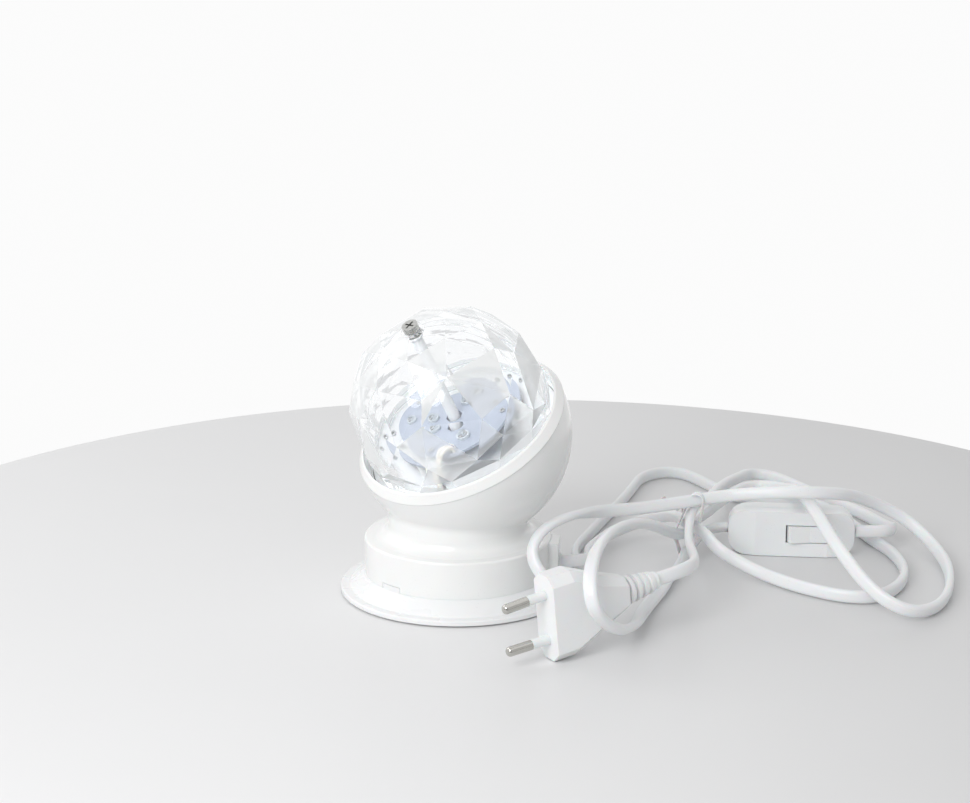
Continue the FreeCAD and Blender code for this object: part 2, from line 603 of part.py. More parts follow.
# Board with three light emitters, its screws and its pair of leads
def make_light_board():
    plate = cylinder("board_plate", "board_radius", "board_thickness", 0, 0, "board_height")
    middle = cylinder("board_middle", "board_hole", "10", 0, 0, "board_height - 5")
    holes = ring_of("board_hole", lambda name, x, y, azimuth: cylinder(
        name, "small_screw_radius", "10", x, y, "board_height - 5"), 3, "board_screw_circle", 30)
    node("light_board", cut("light_board", plate, middle, *holes), leaning=True)
    screws = ring_of("board_screw", lambda name, x, y, azimuth: screw(
        name, "small_screw_radius", "small_screw_length", "small_screw_head", "small_head_height", x, y,
        "board_height + board_thickness"), 3, "board_screw_circle", 30)
    node("board_screws", fuse("board_screws", *screws), leaning=True)
    top = "board_height + board_thickness"
    packages = ring_of("emitter", lambda name, x, y, azimuth: cylinder(
        name, "emitter_radius", "emitter_height", x, y, top), int(size("emitter_count")),
            "emitter_circle", 90)
    node("emitters", fuse("emitters", *packages), leaning=True)
    lenses = []
    for index in range(int(size("emitter_count"))):
        azimuth = 90 + index * 360 / size("emitter_count")
        lens = ball("lens_ball_%d" % index, "lens_radius", 0)
        place(lens, "emitter_circle * cos(%s)" % azimuth, "emitter_circle * sin(%s)" % azimuth,
              top + " + emitter_height")
        lenses.append(lens)
    above = block("lens_cut", "board_radius * 2", "board_radius * 2", "lens_radius + 1", 0, 0,
                  top + " + emitter_height")
    node("emitter_lenses", common("emitter_lenses", fuse("lens_balls", *lenses), above), leaning=True)


# Motor: a case with a coil and rotor below a gear plate, and two gear steps above it
GEAR_DISTANCE = "gear_module * (pinion_teeth + idler_teeth) / 2"


def make_motor():
    top = "-motor_drop"
    under = top + " - cover_thickness"
    low = top + " - motor_height"
    floor = low + " + motor_wall"
    plate_low = floor + " + coil_height"
    plate_top = plate_low + " + gear_plate_thickness"
    inner = "motor_radius - motor_wall"
    case = turned("motor_case", [
        ("pin_radius", low), ("motor_radius", low), ("motor_radius", under), (inner, under), (inner, floor),
        ("pin_radius", floor)])
    node("motor_case", case, leaning=True)

    disc = cylinder("cover_disc", "motor_radius", "cover_thickness", 0, 0, under)
    bar = block("cover_bar", "ear_circle * 2", "ear_radius * 2", "cover_thickness", 0, 0, under)
    ears = [cylinder("ear_%d" % side, "ear_radius", "cover_thickness", "%d * ear_circle" % side, 0, under)
            for side in (-1, 1)]
    collar = cylinder("collar", "hub_radius + bearing_gap + collar_wall",
                      "motor_drop - post_foot_drop - fit_gap", 0, 0, top)
    bore = cylinder("collar_bore", "hub_radius + bearing_gap", "20", 0, 0, under + " - 5")
    ear_holes = [cylinder("ear_hole_%d" % side, "small_screw_radius", "10", "%d * ear_circle" % side, 0,
                          under + " - 5") for side in (-1, 1)]
    node("motor_cover", cut("motor_cover", fuse("cover_solid", disc, bar, collar, *ears), bore, *ear_holes),
         leaning=True)
    screws = [screw("motor_screw_%d" % side, "small_screw_radius", "small_screw_length", "small_screw_head",
                    "small_head_height", "%d * ear_circle" % side, 0, under, upside_down=True)
              for side in (-1, 1)]
    node("motor_screws", fuse("motor_screws", *screws), leaning=True)

    bobbin = turned("coil_bobbin", [
        ("coil_inner", floor), (inner + " - fit_gap", floor), (inner + " - fit_gap",
            floor + " + coil_wall"),
        ("coil_inner + coil_wall", floor + " + coil_wall"),
        ("coil_inner + coil_wall", plate_low + " - coil_wall"),
        (inner + " - fit_gap", plate_low + " - coil_wall"), (inner + " - fit_gap", plate_low),
        ("coil_inner", plate_low)])
    node("coil_bobbin", bobbin, leaning=True)
    winding = tube("winding", inner + " - fit_gap * 3", "coil_inner + coil_wall",
        "coil_height - coil_wall * 2",
                   floor + " + coil_wall")
    node("coil_winding", winding, leaning=True)

    plate = tube("gear_plate_ring", inner, "pinion_clear", "gear_plate_thickness", plate_low)
    idler_hole = cylinder("idler_pin_hole", "pin_radius", "10", GEAR_DISTANCE, 0, plate_low + " - 5")
    node("gear_plate", cut("gear_plate", plate, idler_hole), leaning=True)
    rotor_pin = cylinder("rotor_pin", "pin_radius", "coil_height + motor_wall + gear_plate_thickness"
                         " + idler_width + axial_gap * 2", 0, 0, low)
    idler_pin = cylinder("idler_pin", "pin_radius", "(%s) - (%s)" % (under, plate_low), GEAR_DISTANCE, 0,
                         plate_low)
    node("gear_pins", fuse("gear_pins", rotor_pin, idler_pin), leaning=True)

    magnet = tube("rotor_magnet", "rotor_radius", "rotor_hub", "rotor_length", floor + " + axial_gap")
    node("rotor_magnet", magnet, leaning=True)


def gear_outline(teeth, tooth_at):
    """The outline of a spur gear: straight-sided teeth, the first one centred at the angle tooth_at."""
    module = size("gear_module")
    pitch_radius = module * teeth / 2
    step = 2 * math.pi / teeth
    levels = ((pitch_radius - 1.3 * module, 0.29), (pitch_radius, 0.20), (pitch_radius + 0.9 * module,
        0.10))
    points = []
    for index in range(teeth):
        middle = tooth_at + index * step
        for radius, share in levels:
            points.append(polar(radius, middle - share * step))
        for radius, share in reversed(levels):
            points.append(polar(radius, middle + share * step))
    return points + points[:1]


def polar(radius, angle):
    return Vector(radius * math.cos(angle), radius * math.sin(angle), 0)


def gear(teeth, tooth_at, low, width, across=0):
    """A solid spur gear standing on the height low, its axis at x = across."""
    face = Part.Face(Part.makePolygon(gear_outline(teeth, tooth_at)))
    solid = face.extrude(Vector(0, 0, width))
    solid.translate(Vector(across, 0, low))
    return solid


def gear_node(name, solid):
    item = doc.addObject("Part::Feature", name)
    item.Shape = solid
    return node(name, item, leaning=True)


def make_gears():
    module = size("gear_module")
    pinion, idler, small = (int(size(name)) for name in ("pinion_teeth", "idler_teeth",
        "idler_pinion_teeth"))
    output = pinion + idler - small
    distance = module * (pinion + idler) / 2
    bearing = size("pin_radius") + size("bearing_gap")
    gap = size("axial_gap")
    floor = -size("motor_drop") - size("motor_height") + size("motor_wall")
    plate_top = floor + size("coil_height") + size("gear_plate_thickness")
    idler_low = plate_top + gap
    idler_top = idler_low + size("idler_width")
    output_top = -size("motor_drop") - size("cover_thickness") - gap * 2
    output_low = output_top - size("output_width")

    def bored(solid, radius, across=0):
        return solid.cut(Part.makeCylinder(radius, 60, Vector(across, 0, -60)))

    hub = Part.makeCylinder(size("rotor_hub"), size("rotor_length"), Vector(0, 0, floor + gap))
    rotor_top = floor + gap + size("rotor_length")
    rotor_pinion = hub.fuse(gear(pinion, 0, rotor_top, idler_top - rotor_top))
    gear_node("rotor_pinion", bored(rotor_pinion, bearing))

    big = gear(idler, 0, idler_low, size("idler_width"), distance)
    little = gear(small, math.pi / small, idler_top, output_top - idler_top, distance)
    gear_node("idler_gear", bored(big.fuse(little), bearing, distance))

    wheel = gear(output, 0, output_low, size("output_width"))
    stem = Part.makeCylinder(size("hub_radius"), -size("post_foot_drop") - output_top, Vector(0, 0,
        output_top))
    gear_node("output_gear", bored(wheel.fuse(stem), size("shaft_radius")))
    shaft = cylinder("output_shaft_rod", "shaft_radius", -size("shaft_top_drop") - output_low, 0, 0,
        output_low)
    node("output_shaft", shaft, leaning=True)


# Driver board on two posts of the housing, with what stands on it
def make_driver_board():
    top = "driver_height + driver_thickness"
    board = block("driver_plate", "driver_length", "driver_width", "driver_thickness", 0, "-driver_shift",
                  "driver_height")
    holes = [cylinder("driver_hole_%d" % side, "small_screw_radius", "10",
                      "%d * driver_screw_spacing / 2" % side, "-driver_shift", "driver_height - 5")
             for side in (-1, 1)]
    node("driver_board", cut("driver_board", board, *holes))
    screws = [screw("driver_screw_%d" % side, "small_screw_radius", "small_screw_length",
        "small_screw_head",
                    "small_head_height", "%d * driver_screw_spacing / 2" % side, "-driver_shift",
                    "driver_height", upside_down=True) for side in (-1, 1)]
    node("driver_screws", fuse("driver_screws", *screws))
    film = block("film_capacitor", "capacitor_length", "capacitor_width", "capacitor_height", 0,
                 "-driver_shift - driver_width / 4", top)
    can = cylinder("can_capacitor", "can_radius", "can_height", "-can_radius * 2.4",
        "-driver_shift + can_radius", top)
    bridge = block("rectifier", "6", "5", "2.5", "1", "-driver_shift + 4", top)
    node("capacitors", fuse("capacitors", film, can, bridge))
    node("terminal_block", block("terminal_block", "terminal_length", "terminal_width", "terminal_height",
                                 "14", "-driver_shift + driver_width / 4 + 0.5", top))


# Paths of wires and cords: straight runs joined by tangent arcs
def path(points):
    """The edges of a route, and the radius of each arc."""
    points = [Vector(*point) for point in points]
    edges = []
    radii = []
    start = points[0]
    for before, corner, after in zip(points, points[1:], points[2:]):
        inwards = before - corner
        outwards = after - corner
        reach = 0.45 * min(inwards.Length, outwards.Length)
        turn = math.pi - inwards.getAngle(outwards)
        radius = reach / math.tan(turn / 2)
        inwards.normalize()
        outwards.normalize()
        arc_start = corner + inwards * reach
        arc_end = corner + outwards * reach
        towards_centre = (inwards + outwards).normalize()
        middle = corner + towards_centre * (radius / math.cos(turn / 2) - radius)
        edges.append(Part.LineSegment(start, arc_start).toShape())
        edges.append(Part.Arc(arc_start, middle, arc_end).toShape())
        radii.append(radius)
        start = arc_end
    edges.append(Part.LineSegment(start, points[-1]).toShape())
    return edges, radii


def cord(name, points, radius):
    """A round cord along a route; prints its length, its radii and how its volume compares."""
    edges, radii = path(points)
    spine = Part.Wire(edges)
    along = Vector(*points[1]) - Vector(*points[0])
    section = Part.Wire([Part.Circle(Vector(*points[0]), along, radius).toShape()])
    solid = spine.makePipeShell([section], True, False)
    expected = math.pi * radius ** 2 * spine.Length
    print(name, "length", round(spine.Length, 1), "volume ratio", round(solid.Volume / expected, 4),
          "radii", " ".join(str(round(value, 1)) for value in radii))
    return solid


def feature(name, solid):
    item = doc.addObject("Part::Feature", name)
    item.Shape = solid
    return item


def beside(points, across, gap):
    """A route shifted sideways by gap, square to each run as the route turns."""
    points = [Vector(*point) for point in points]
    side = Vector(*across)
    shifted = []
    for index, point in enumerate(points):
        along = points[min(index + 1, len(points) - 1)] - points[max(index - 1, 0)]
        along.normalize()
        side = side - along * side.dot(along)
        side.normalize()
        shifted.append(tuple(point + side * gap))
    return shifted


def in_world(point):
    """A point of the head frame in the world frame."""
    return tuple(Vector(0, 0, size("pivot_height"))
                 + Rotation(Vector(1, 0, 0), size("lean_angle")).multVec(Vector(*point)))


def pair(name, points, across, gap, radius):
    return feature(name, Part.Compound([cord("%s_%d" % (name, side), beside(points, across, side * gap / 2),
                                             radius) for side in (-1, 1)]))


# Leads inside the lamp, each a pair of insulated wires
def make_leads():
    top = size("driver_height") + size("driver_thickness")
    face = size("board_height") + size("board_thickness")
    x, y = size("lead_x"), size("lead_y")
    radius = size("lead_radius")
    gap = radius * 2 + 0.5
    light = [in_world(point) for point in ((13.5, -17.6, face), (13.5, -17.6, 5.0), (12.6, -23, 7.2),
                                           (x, y, -1.0), (x, y + 0.2, -12), (10.5, -28.2, -24))]
    light += [(12, -9.5, 33), (12, -12, 25), (12, -12, top)]
    node("light_leads", pair("light_leads", light, (1, 0, 0), gap, radius))
    edge = size("motor_radius") + size("bearing_gap") * 2
    motor = [in_world(point) for point in ((-edge, 0, -29), (-28.5, 0, -29), (-27.5, -7, -32),
                                           (-23, -18, -36))]
    motor += [(-17, -6, 24.5), (-17, -9.5, 21), (-17, -9.5, top)]
    node("motor_leads", pair("motor_leads", motor, (0, 1, 0.2), gap, radius))
    outlet = math.radians(size("outlet_angle"))
    start = size("drum_radius") - size("wall") - size("clamp_inset") - size("clamp_depth") - 1.2
    height = size("cord_height")
    face_y = -size("driver_shift") + size("driver_width") / 4 + 0.5 + size("terminal_width") / 2
    core = [(start * math.cos(outlet), start * math.sin(outlet), height),
            ((start - 5) * math.cos(outlet), (start - 5) * math.sin(outlet), height),
            (14.8, 10.5, height + 4.5), (14, 7.6, height + 8.2), (14, face_y, height + 8.2)]
    node("mains_cores", pair("mains_cores", core, (1, -1, 0), size("core_radius") * 2 + 0.3,
                             size("core_radius")))


# Clamp bar under the cord, its screws, and the sleeve in the outlet
def make_clamp_and_bush():
    middle = "drum_radius - wall - clamp_inset - clamp_depth / 2"
    low = "cord_height - cord_radius - clamp_thickness"
    bar = turned_place(block("clamp_blank", "clamp_depth", "clamp_screw_spacing + screw_head * 2",
                             "clamp_thickness"), middle + " - clamp_depth / 2",
                       "-clamp_screw_spacing / 2 - screw_head", low, "outlet_angle")
    holes = [turned_place(cylinder("clamp_hole_%d" % side, "screw_radius", "20"), middle,
                          "%d * clamp_screw_spacing / 2" % side, low + " - 5", "outlet_angle")
             for side in (-1, 1)]
    node("cord_clamp", cut("cord_clamp", bar, *holes))
    screws = []
    for side in (-1, 1):
        item = screw("clamp_screw_%d" % side, "screw_radius", "screw_length + 2.7", "screw_head",
                     "screw_head_height", 0, 0, 0, upside_down=True)
        screws.append(turned_place(item, middle, "%d * clamp_screw_spacing / 2" % side, low,
            "outlet_angle"))
    node("clamp_screws", fuse("clamp_screws", *screws))
    node("cord_bush", cut("cord_bush", radial_hole("bush_outer", "cord_radius + bush_wall",
                                                   "drum_radius - wall",
                                                       "outlet_reach - drum_radius + wall + 1"),
                          radial_hole("bush_inner", "cord_radius", "drum_radius - wall * 2",
                              "wall * 2 + 10")))


# The free cord: points chosen by hand along its route, from the lamp to the switch and on to the plug
LAMP_SIDE = [
    (21.28, 16.62, 12.6), (44.52, 34.78, 12.6), (26.4, 53.3, 8), (17.5, 67.5, 5.5), (12, 80, 4.5),
    (7.5, 94, 4.2), (10.5, 108, 6), (20, 113.5, 9.8), (32, 107, 14.2), (47.5, 97.5, 16.1),
    (59.5, 94, 15.2), (69.7, 88.5, 12), (79.2, 93, 6.5), (91.3, 95.6, 3), (111, 93.5, 3),
    (131.7, 96.4, 3), (142.2, 106.5, 3), (140.4, 125.3, 3), (131.4, 143.4, 3), (114, 160, 3),
    (94, 170.5, 3), (75, 183, 3), (54, 194.5, 3), (37, 194, 3), (24.5, 182.5, 3), (12, 178, 3),
    (-5, 183.5, 3), (-20, 189.5, 3), (-33, 192.5, 3), (-41.5, 184, 3), (-40.5, 170, 3), (-32.5, 155, 3),
    (-22, 134, 3), (-12.5, 112, 3), (-1, 87, 3), (10.5, 62.5, 3), (24, 49.8, 3), (39, 40.3, 3),
    (52.5, 29.8, 4), (61, 16, 6.5), (61, 3.2, 10), (52.5, -4.4, 18), (46.1, -4.2, 25), (44.2, 0, 31),
    (43.5, 9.5, 35), (42.5, 26, 35.5), (39, 46, 31.5), (43, 69, 28.4), (49.5, 93.5, 27.5),
    (57, 109, 28.2), (68, 116, 30.2), (80.5, 122.5, 32), (90, 131, 32), (95, 143.5, 29.8),
    (95, 158, 25.4), (98.5, 171.5, 19), (107.5, 181, 12), (122, 180, 4), (143.5, 159, 3),
    (160.5, 131, 3), (166.5, 110, 3), (164, 96, 4.5), (154.5, 91, 8.5), (143.5, 91.5, 14),
    (132, 95.5, 20), (116.5, 106, 24), (97, 124, 26), (79.5, 140, 26), (63, 155, 22.5), (50, 170, 16.5),
    (38.5, 181, 12), (28.5, 186.5, 9.8), (20.5, 184.5, 8.9), (18.2, 176.5, 8.8), (21, 163.5, 9),
    (25, 149, 9.2), (31, 131.5, 9.2), (36, 113, 9.4), (44.5, 98.5, 9.4), (51, 80, 17), (56, 60, 26.5),
    (62, 39, 33), (70.5, 18, 36.8), (81, -2.5, 38), (93, -20.5, 38), (101, -31, 34), (104, -32.5, 26),
    (103, -24.5, 17), (101.5, -12, 9.5), (95.5, 4, 6.3), (85, 20, 4), (76, 38, 3), (69, 54, 3),
    (62.6, 68, 3), (56, 82.5, 3.2), (49.5, 93, 3.4), (45.4, 101.3, 3.1), (43.2, 108.4, 5.4),
    (47.2, 114.69, 10.5), (53.1, 119.3, 10.5)]
PLUG_SIDE = [
    (97.23, 153.78, 10.5), (103.14, 158.4, 10.5), (107.4, 165.5, 10.2), (105, 174, 8.8),
    (98.5, 182, 5.6), (89, 190, 3.2), (76, 197, 3), (61.5, 202, 3), (47, 206, 3), (31.5, 211, 3),
    (16.5, 216.4, 3), (4.5, 219.5, 3), (-3.3, 216, 3.3), (-3.4, 207.5, 4.6), (2, 195, 6.8),
    (8.8, 177.5, 9.8), (15.5, 163, 12), (24.3, 146, 15), (33.5, 129, 17.6), (44.5, 105, 21.6),
    (53, 91.5, 21.6), (62, 79, 20), (72, 67, 19), (83, 56, 20), (92.5, 45, 22), (98.5, 34, 23.8),
    (99.42, 22.83, 24.18), (97.01, 13.18, 23.14)]


def make_cords():
    node("cord_lamp_side", feature("cord_lamp_side", cord("cord_lamp_side", LAMP_SIDE,
        size("cord_radius"))))
    node("cord_plug_side", feature("cord_plug_side", cord("cord_plug_side", PLUG_SIDE,
        size("cord_radius"))))


# Tie round the gathered cord: a flat wire bent round the bundle, its two ends twisted together
def make_tie():
    outer = block("tie_outer", "tie_half_width * 2 + tie_thickness * 2", "tie_width",
        "tie_top - tie_gap + tie_thickness",
                  0, 0, "tie_gap - tie_thickness")
    inner = block("tie_inner", "tie_half_width * 2", "tie_width + 2", "tie_top - tie_gap - tie_thickness",
                  0, 0, "tie_gap")
    ends = cylinder("tie_ends", "tie_thickness * 1.3", "9", "-tie_half_width - tie_thickness", 0,
                    "tie_top - tie_thickness * 2")
    item = cut("cord_tie", fuse("tie_solid", outer, ends), inner)
    item.Placement = Placement(Vector(49.3, 96.6, 0), Rotation(Vector(0, 0, 1), size("tie_turn")))
    node("cord_tie", item)


# In-line switch, drawn along +X from its lamp end, its rocker facing -Y, standing on its long edge
def on_switch(item):
    item.Placement = Placement(Vector(*LAMP_SIDE[-1][:2], 0), Rotation(Vector(0, 0, 1),
        size("switch_turn")))
    return item


def switch_solid(inset):
    """The switch's outline shrunk by inset all round: tapered ends in plan, rounded corners in front view."""
    length, height, depth, end, taper, corner = (size("switch_" + word) for word in (
        "length", "height", "depth", "end_depth", "taper", "corner"))
    half = depth / 2 - inset
    half_end = end / 2 - inset
    plan = [(inset, -half_end), (taper, -half), (length - taper, -half), (length - inset, -half_end),
            (length - inset, half_end), (length - taper, half), (taper, half), (inset, half_end)]
    points = [Vector(x, y, 0) for x, y in plan]
    upright = Part.Face(Part.makePolygon(points + points[:1])).extrude(Vector(0, 0, height))
    slab = Part.makeBox(length - inset * 2, depth * 2, height - inset * 2, Vector(inset, -depth, inset))
    level = [edge for edge in slab.Edges if abs(edge.tangentAt(edge.FirstParameter).y) > 0.9]
    return upright.common(slab.makeFillet(corner - inset / 2, level))


def make_switch():
    length, height, depth, wall = (size("switch_" + word) for word in ("length", "height", "depth", "wall"))
    axis_height = size("switch_cord_height")
    middle_x = length / 2 + size("rocker_shift")
    pin_y = -depth / 2 + size("rocker_pin_depth")
    half_rocker = size("rocker_length") / 2
    pin_radius = size("rocker_pin_radius")
    fit = size("fit_gap")
    across = size("rocker_width") / 2
    corner_reach = math.hypot(half_rocker,
        size("rocker_pin_depth") + size("rocker_proud") + size("rocker_rise"))
    shell = switch_solid(0).cut(switch_solid(wall))
    window = Part.makeBox(corner_reach * 2 + fit * 2, wall * 3, across * 2 + fit * 2,
                          Vector(middle_x - corner_reach - fit, -depth / 2 - wall,
                              axis_height - across - fit))
    bosses = []
    for side in (-1, 1):
        low = axis_height + (across + fit if side > 0 else -across - fit - 2)
        bosses.append(Part.makeBox(5, depth / 2 - 1 + pin_y + 3, 2, Vector(middle_x - 2.5, -depth / 2 + 1,
            low)))
    screw_places = ((15, height - 4.6), (length - 13, 4.2))
    posts = [Part.makeCylinder(2, depth - 1, Vector(x, -depth / 2 + 0.5, z), Vector(0, 1, 0))
             for x, z in screw_places]
    bores = [Part.makeCylinder(size("small_screw_radius"), depth, Vector(x, -depth / 2 + 3, z), Vector(0,
        1, 0))
             for x, z in screw_places]
    pin_bore = Part.makeCylinder(pin_radius, across * 2 + fit * 2 + 3, Vector(
        middle_x, pin_y, axis_height - across - fit - 1.5))
    core_holes = Part.makeCylinder(size("core_radius") + size("switch_core_offset"), length + 4,
                                   Vector(-2, 0, axis_height), Vector(1, 0, 0))
    whole = shell.fuse(bosses + posts).cut(bores + [window, pin_bore, core_holes])
    front = Part.makeBox(length + 4, depth, height + 4, Vector(-2, -depth, -2))
    back = Part.makeBox(length + 4, depth, height + 4, Vector(-2, 0, -2))
    node("switch_front", on_switch(feature("switch_front", whole.common(front))))
    node("switch_back", on_switch(feature("switch_back", whole.common(back))))

    heads = [Part.makeCylinder(size("small_screw_head"), size("small_head_height"),
                               Vector(x, depth / 2, z), Vector(0, 1, 0)) for x, z in screw_places]
    shanks = [Part.makeCylinder(size("small_screw_radius"), depth - 4, Vector(x, -depth / 2 + 4, z),
                                Vector(0, 1, 0)) for x, z in screw_places]
    screws = [head.fuse(shank) for head, shank in zip(heads, shanks)]
    node("switch_screws", on_switch(feature("switch_screws", Part.Compound(screws))))

    bar = size("contact_thickness")
    offset = size("switch_core_offset")
    taper = size("switch_taper")
    neutral = Part.makeBox(length - taper * 2, bar, bar, Vector(taper, -bar / 2,
        axis_height - offset - bar / 2))
    live = [Part.makeBox(reach, bar, bar, Vector(start, -bar / 2, axis_height + offset - bar / 2))
            for start, reach in ((taper, middle_x - taper - 4), (middle_x + 4,
                length - taper - middle_x - 4))]
    node("switch_contacts", on_switch(feature("switch_contacts", Part.Compound([neutral] + live))))
    cores = [Part.makeCylinder(size("core_radius"), taper, Vector(start, 0, axis_height + side * offset),
                               Vector(1, 0, 0)) for side in (-1, 1) for start in (0, length - taper)]
    node("switch_cores", on_switch(feature("switch_cores", Part.Compound(cores))))
    pin = Part.makeCylinder(pin_radius, across * 2 + fit * 2 + 3, Vector(
        middle_x, pin_y, axis_height - across - fit - 1.5))
    node("rocker_pin", on_switch(feature("rocker_pin", pin)))
    make_rocker(middle_x, pin_y, axis_height)


def make_rocker(middle_x, pin_y, axis_height):
    """The rocker about its pin: two faces that meet in a shallow valley and ends round the pin, one pressed in."""
    half = size("rocker_length") / 2
    valley = size("rocker_pin_depth") + size("rocker_proud")
    reach = math.hypot(half, valley + size("rocker_rise"))
    crest = -valley - size("rocker_rise") * reach / half
    outline = [(-reach, size("rocker_foot")), (-reach, crest), (0, -valley), (reach, crest),
               (reach, size("rocker_foot"))]
    points = [Vector(x, y, 0) for x, y in outline]
    solid = Part.Face(Part.makePolygon(points + points[:1])).extrude(Vector(0, 0, size("rocker_width")))
    solid = solid.common(Part.makeCylinder(reach, size("rocker_width")))
    bore = Part.makeCylinder(size("rocker_pin_radius") + size("bearing_gap"), size("rocker_width"))
    solid = solid.cut(bore)
    solid.rotate(Vector(0, 0, 0), Vector(0, 0, 1), size("rocker_tilt"))
    solid.translate(Vector(middle_x, pin_y, axis_height - size("rocker_width") / 2))
    node("rocker", on_switch(feature("rocker", Part.Compound([solid]))))


# Plug, drawn from the middle of its face: body and boot along +X, pins along -X, standing on its edge
def on_plug(item):
    turn = Rotation(Vector(0, 0, 1), size("plug_turn")) * Rotation(Vector(0, 1, 0), -size("plug_pitch"))
    end = Vector(*PLUG_SIDE[-1])
    item.Placement = Placement(end - turn.multVec(Vector(size("plug_length"), 0, 0)), turn)
    return item


def plug_section(x, height, depth):
    """An upright eight-cornered section of the plug's body."""
    half_height = height / 2
    half_depth = depth / 2
    cut_corner = half_depth * 0.55
    corners = [(-half_depth, half_height - cut_corner), (-half_depth + cut_corner, half_height),
               (half_depth - cut_corner, half_height), (half_depth, half_height - cut_corner),
               (half_depth, cut_corner - half_height), (half_depth - cut_corner, -half_height),
               (cut_corner - half_depth, -half_height), (-half_depth, cut_corner - half_height)]
    points = [Vector(x, y, z) for y, z in corners]
    return Part.makePolygon(points + points[:1])


def make_plug():
    height, depth, length = size("plug_height"), size("plug_depth"), size("plug_body_length")
    cheek = size("plug_cheek")
    neck_height, neck_depth = size("plug_neck_height"), size("plug_neck_depth")
    middle_height = neck_height + (height - neck_height) * 0.45
    sections = [plug_section(0, height, depth), plug_section(cheek, height, depth),
                plug_section((cheek + length) / 2, middle_height, depth),
                plug_section(length, neck_height, neck_depth)]
    body = Part.makeLoft(sections, True, True)
    sleeve = size("pin_sleeve_length")
    bores = [pin_part(side, size("pin_core_radius"), -1, 7) for side in (-1, 1)]
    node("plug_body", on_plug(feature("plug_body", body.cut(bores))))
    sleeves = [pin_part(side, size("plug_pin_radius"), -sleeve, sleeve).cut(
        pin_part(side, size("pin_core_radius"), -sleeve - 1, sleeve + 2)) for side in (-1, 1)]
    node("pin_sleeves", on_plug(feature("pin_sleeves", Part.Compound(sleeves))))
    pins = []
    for side in (-1, 1):
        tip = pin_part(side, size("plug_pin_radius"), -size("pin_length"), size("pin_length") - sleeve)
        ends = [edge for edge in tip.Edges if edge.CenterOfMass.x < -size("pin_length") + 0.5
                and edge.Closed]
        tip = tip.makeFillet(size("plug_pin_radius") * 0.7, ends)
        pins.append(tip.fuse(pin_part(side, size("pin_core_radius"), -sleeve - 1, sleeve + 7)))
    node("plug_pins", on_plug(feature("plug_pins", Part.Compound(pins))))

    core = size("cord_radius") + 1.2
    reach = size("plug_length") - length
    ribs = int(size("boot_ribs"))
    pitch = reach / (ribs + 0.5)
    outline = [Vector(length, 0, 0), Vector(length, core, 0)]
    for index in range(ribs):
        radius = size("boot_radius") + (size("boot_end_radius") - size("boot_radius")) * index / (ribs - 1)
        low = length + pitch * (index + 0.35)
        outline += [Vector(low, core, 0), Vector(low, radius, 0), Vector(low + pitch * 0.55, radius - 0.4,
            0),
                    Vector(low + pitch * 0.55, core, 0)]
    outline += [Vector(size("plug_length"), core, 0), Vector(size("plug_length"), 0, 0), outline[0]]
    boot = Part.Face(Part.makePolygon(outline)).revolve(Vector(0, 0, 0), Vector(1, 0, 0), 360)
    node("plug_boot", on_plug(feature("plug_boot", boot)))


def pin_part(side, radius, start, reach):
    """A round length of a plug pin; the two pins lean a little towards each other at their tips."""
    solid = Part.makeCylinder(radius, reach, Vector(start, 0, 0), Vector(1, 0, 0))
    solid.rotate(Vector(0, 0, 0), Vector(0, 1, 0), -side * size("pin_lean"))
    solid.translate(Vector(0, 0, side * size("pin_spacing") / 2))
    return solid


make_base_plate()
make_housing()
make_rim_and_deck()
make_dome()
make_post_and_screw()
make_light_board()
make_motor()
make_gears()
make_driver_board()
make_leads()
make_clamp_and_bush()
make_cords()
make_tie()
make_switch()
make_plug()

doc.recompute()
for item in doc.Objects:
    if "Invalid" in item.State or "Error" in item.State:
        raise RuntimeError("failed: %s %s" % (item.Name, item.State))
for item in NODES:
    shape = item.Shape
    if shape.isNull() or not shape.isValid() or not shape.Solids:
        raise RuntimeError("bad shape: " + item.Label)
    shape.exportStep("parts/%s.step" % item.Label)
    print(item.Label, len(shape.Solids), "solids", round(shape.Volume, 1))
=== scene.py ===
import json
import math

import bpy
import numpy as np
from mathutils import Matrix, Vector


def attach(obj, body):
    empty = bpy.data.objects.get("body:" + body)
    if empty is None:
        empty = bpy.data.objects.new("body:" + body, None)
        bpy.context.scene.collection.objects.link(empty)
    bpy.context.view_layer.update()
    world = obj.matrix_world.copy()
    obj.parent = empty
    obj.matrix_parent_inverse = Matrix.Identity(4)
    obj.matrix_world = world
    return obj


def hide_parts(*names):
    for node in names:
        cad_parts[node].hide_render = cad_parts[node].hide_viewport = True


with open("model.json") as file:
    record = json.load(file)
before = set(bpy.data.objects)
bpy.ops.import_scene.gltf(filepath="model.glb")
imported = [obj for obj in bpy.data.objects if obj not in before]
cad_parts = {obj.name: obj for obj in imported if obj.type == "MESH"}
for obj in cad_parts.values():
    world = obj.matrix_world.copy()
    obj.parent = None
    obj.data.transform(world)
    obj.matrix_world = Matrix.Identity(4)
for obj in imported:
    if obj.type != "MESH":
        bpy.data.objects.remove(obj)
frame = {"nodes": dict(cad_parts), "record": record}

nodes = frame["nodes"]
scene = bpy.context.scene
collection = scene.collection
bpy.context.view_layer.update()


# Camera at the photograph's angle, in metres and degrees

CAMERA_PLACE = (0.570928, -0.574685, 0.290258)
CAMERA_TURN, CAMERA_PITCH = 44, 14.45
SENSOR_WIDTH, LENS = 36, 74.227


